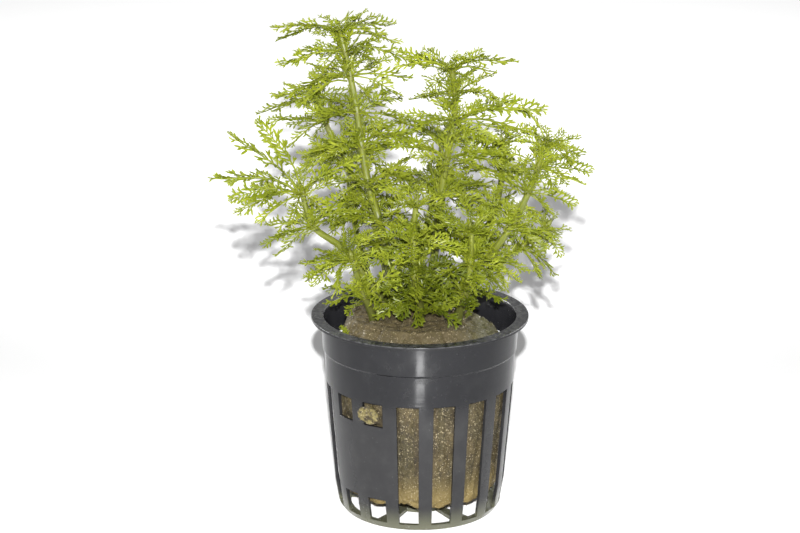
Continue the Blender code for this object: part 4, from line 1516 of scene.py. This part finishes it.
def wool_tree():
    made, given = geometry_tree(
        "rockwool", Crease=("Float", 0.0007), Pit=("Float", 0.0005),
        Fibres_per_square_metre=("Float", 380000.0), Shortest=("Float", 0.0008),
        Longest=("Float", 0.0021), Fibres=("Collection", None))
    place = made.field("GeometryNodeInputPosition")
    # A crease is where the folding noise crosses its middle
    folds = made.stretched_noise(place, 190.0, 22.0, 2.0)
    crease = made.step(made.math("ABSOLUTE", folds - 0.5), 0.055, 0.0)
    lumps = made.step(made.noise(place, 260.0, 2.0), 0.40, 0.70)
    pits = made.step(made.noise(place, 1100.0, 3.0), 0.35, 0.70)
    depth = crease * given["Crease"] + lumps * given["Pit"] * 0.9 + pits * given["Pit"] * 0.6
    skin = push(made, given["Geometry"], 0.0 - depth)
    scatter = made.node("GeometryNodeDistributePointsOnFaces", {}, {
        "Mesh": skin, "Density": given["Fibres_per_square_metre"], "Seed": 4})
    points, out = Field(made, scatter.outputs["Points"]), Field(made, scatter.outputs["Normal"])
    # A direction square to the normal lies flat, and a little of the normal lifts the fibre
    anyway = random_value(made, "FLOAT_VECTOR", (-1.0, -1.0, -1.0), (1.0, 1.0, 1.0), 5)
    flat = made.vector_math("NORMALIZE", made.vector_math("CROSS_PRODUCT", out, anyway))
    lift = random_value(made, "FLOAT", 0.02, 0.25, 6)
    aim = made.vector_math("ADD", flat, made.vector_math("SCALE", out, Scale=lift))
    size = random_value(made, "FLOAT", given["Shortest"], given["Longest"], 7)
    kind = random_value(made, "INT", 0, FIBRE_KINDS - 1, 8)
    placed = instances(made, points, given["Fibres"], kind, aim, out, made.vector(size, size, size))
    return end_tree(made, join(made, placed, skin), wool_brown)


def wool_piece():
    mesh = nodes["rockwool_plug"].data.copy()
    made = bpy.data.objects.new("wet_rockwool", mesh)
    bpy.context.scene.collection.objects.link(made)
    solid = bmesh.new()
    solid.from_mesh(mesh)
    bmesh.ops.remove_doubles(solid, verts=solid.verts, dist=WELD)
    solid.to_mesh(mesh)
    solid.free()
    even = made.modifiers.new("even skin", "REMESH")
    even.mode = "VOXEL"
    even.voxel_size = WOOL_VOXEL
    even.use_smooth_shade = True
    add_tree(made, wool_tree(), Fibres=fibres)
    baked(made)
    return finish_piece(made, "rockwool", "rockwool_plug")


wool = wool_piece()
print(f"rockwool of {triangles(wool)} triangles")

# %% [markdown]
# ## A sprout
#
# One small sprout has come up at the front left edge of the plug, from a broken
# end. It is three tiny leaves from the same tree. The place in the photograph only
# says where its middle is seen, so the leaves start at the nearest point of the
# solid plug and a little below its skin, and grow through that place.

# %% A sprout
SPROUT_MIDDLE = Vector((-19.4, -12.2, 49.2)) * MM
SPROUT_DEPTH = 0.6 * MM
# Where the three leaves end, past the middle, in millimetres
SPROUT_TIPS = ((-0.4, 0.0, 2.4), (0.2, -0.2, 2.0), (0.0, 0.3, 1.7))
SPROUT_AGE = 0.1


def sprout_piece():
    plug = nodes["rockwool_plug"].data
    skin = BVHTree.FromPolygons([v.co for v in plug.vertices], [p.vertices for p in plug.polygons])
    ground, outwards, _, _ = skin.find_nearest(SPROUT_MIDDLE)
    base = ground - outwards * SPROUT_DEPTH
    print(f"sprout rooted {(SPROUT_MIDDLE - ground).length / MM:.1f} mm from its middle")
    front = Vector((0, -1, 0))
    rows = [leaf_row(base, SPROUT_MIDDLE + Vector(tip) * MM, front, SPROUT_AGE, False) for tip in SPROUT_TIPS]
    return leafy_piece("sprout", rows)


sprout = sprout_piece()
print(f"sprout of {triangles(sprout)} triangles")
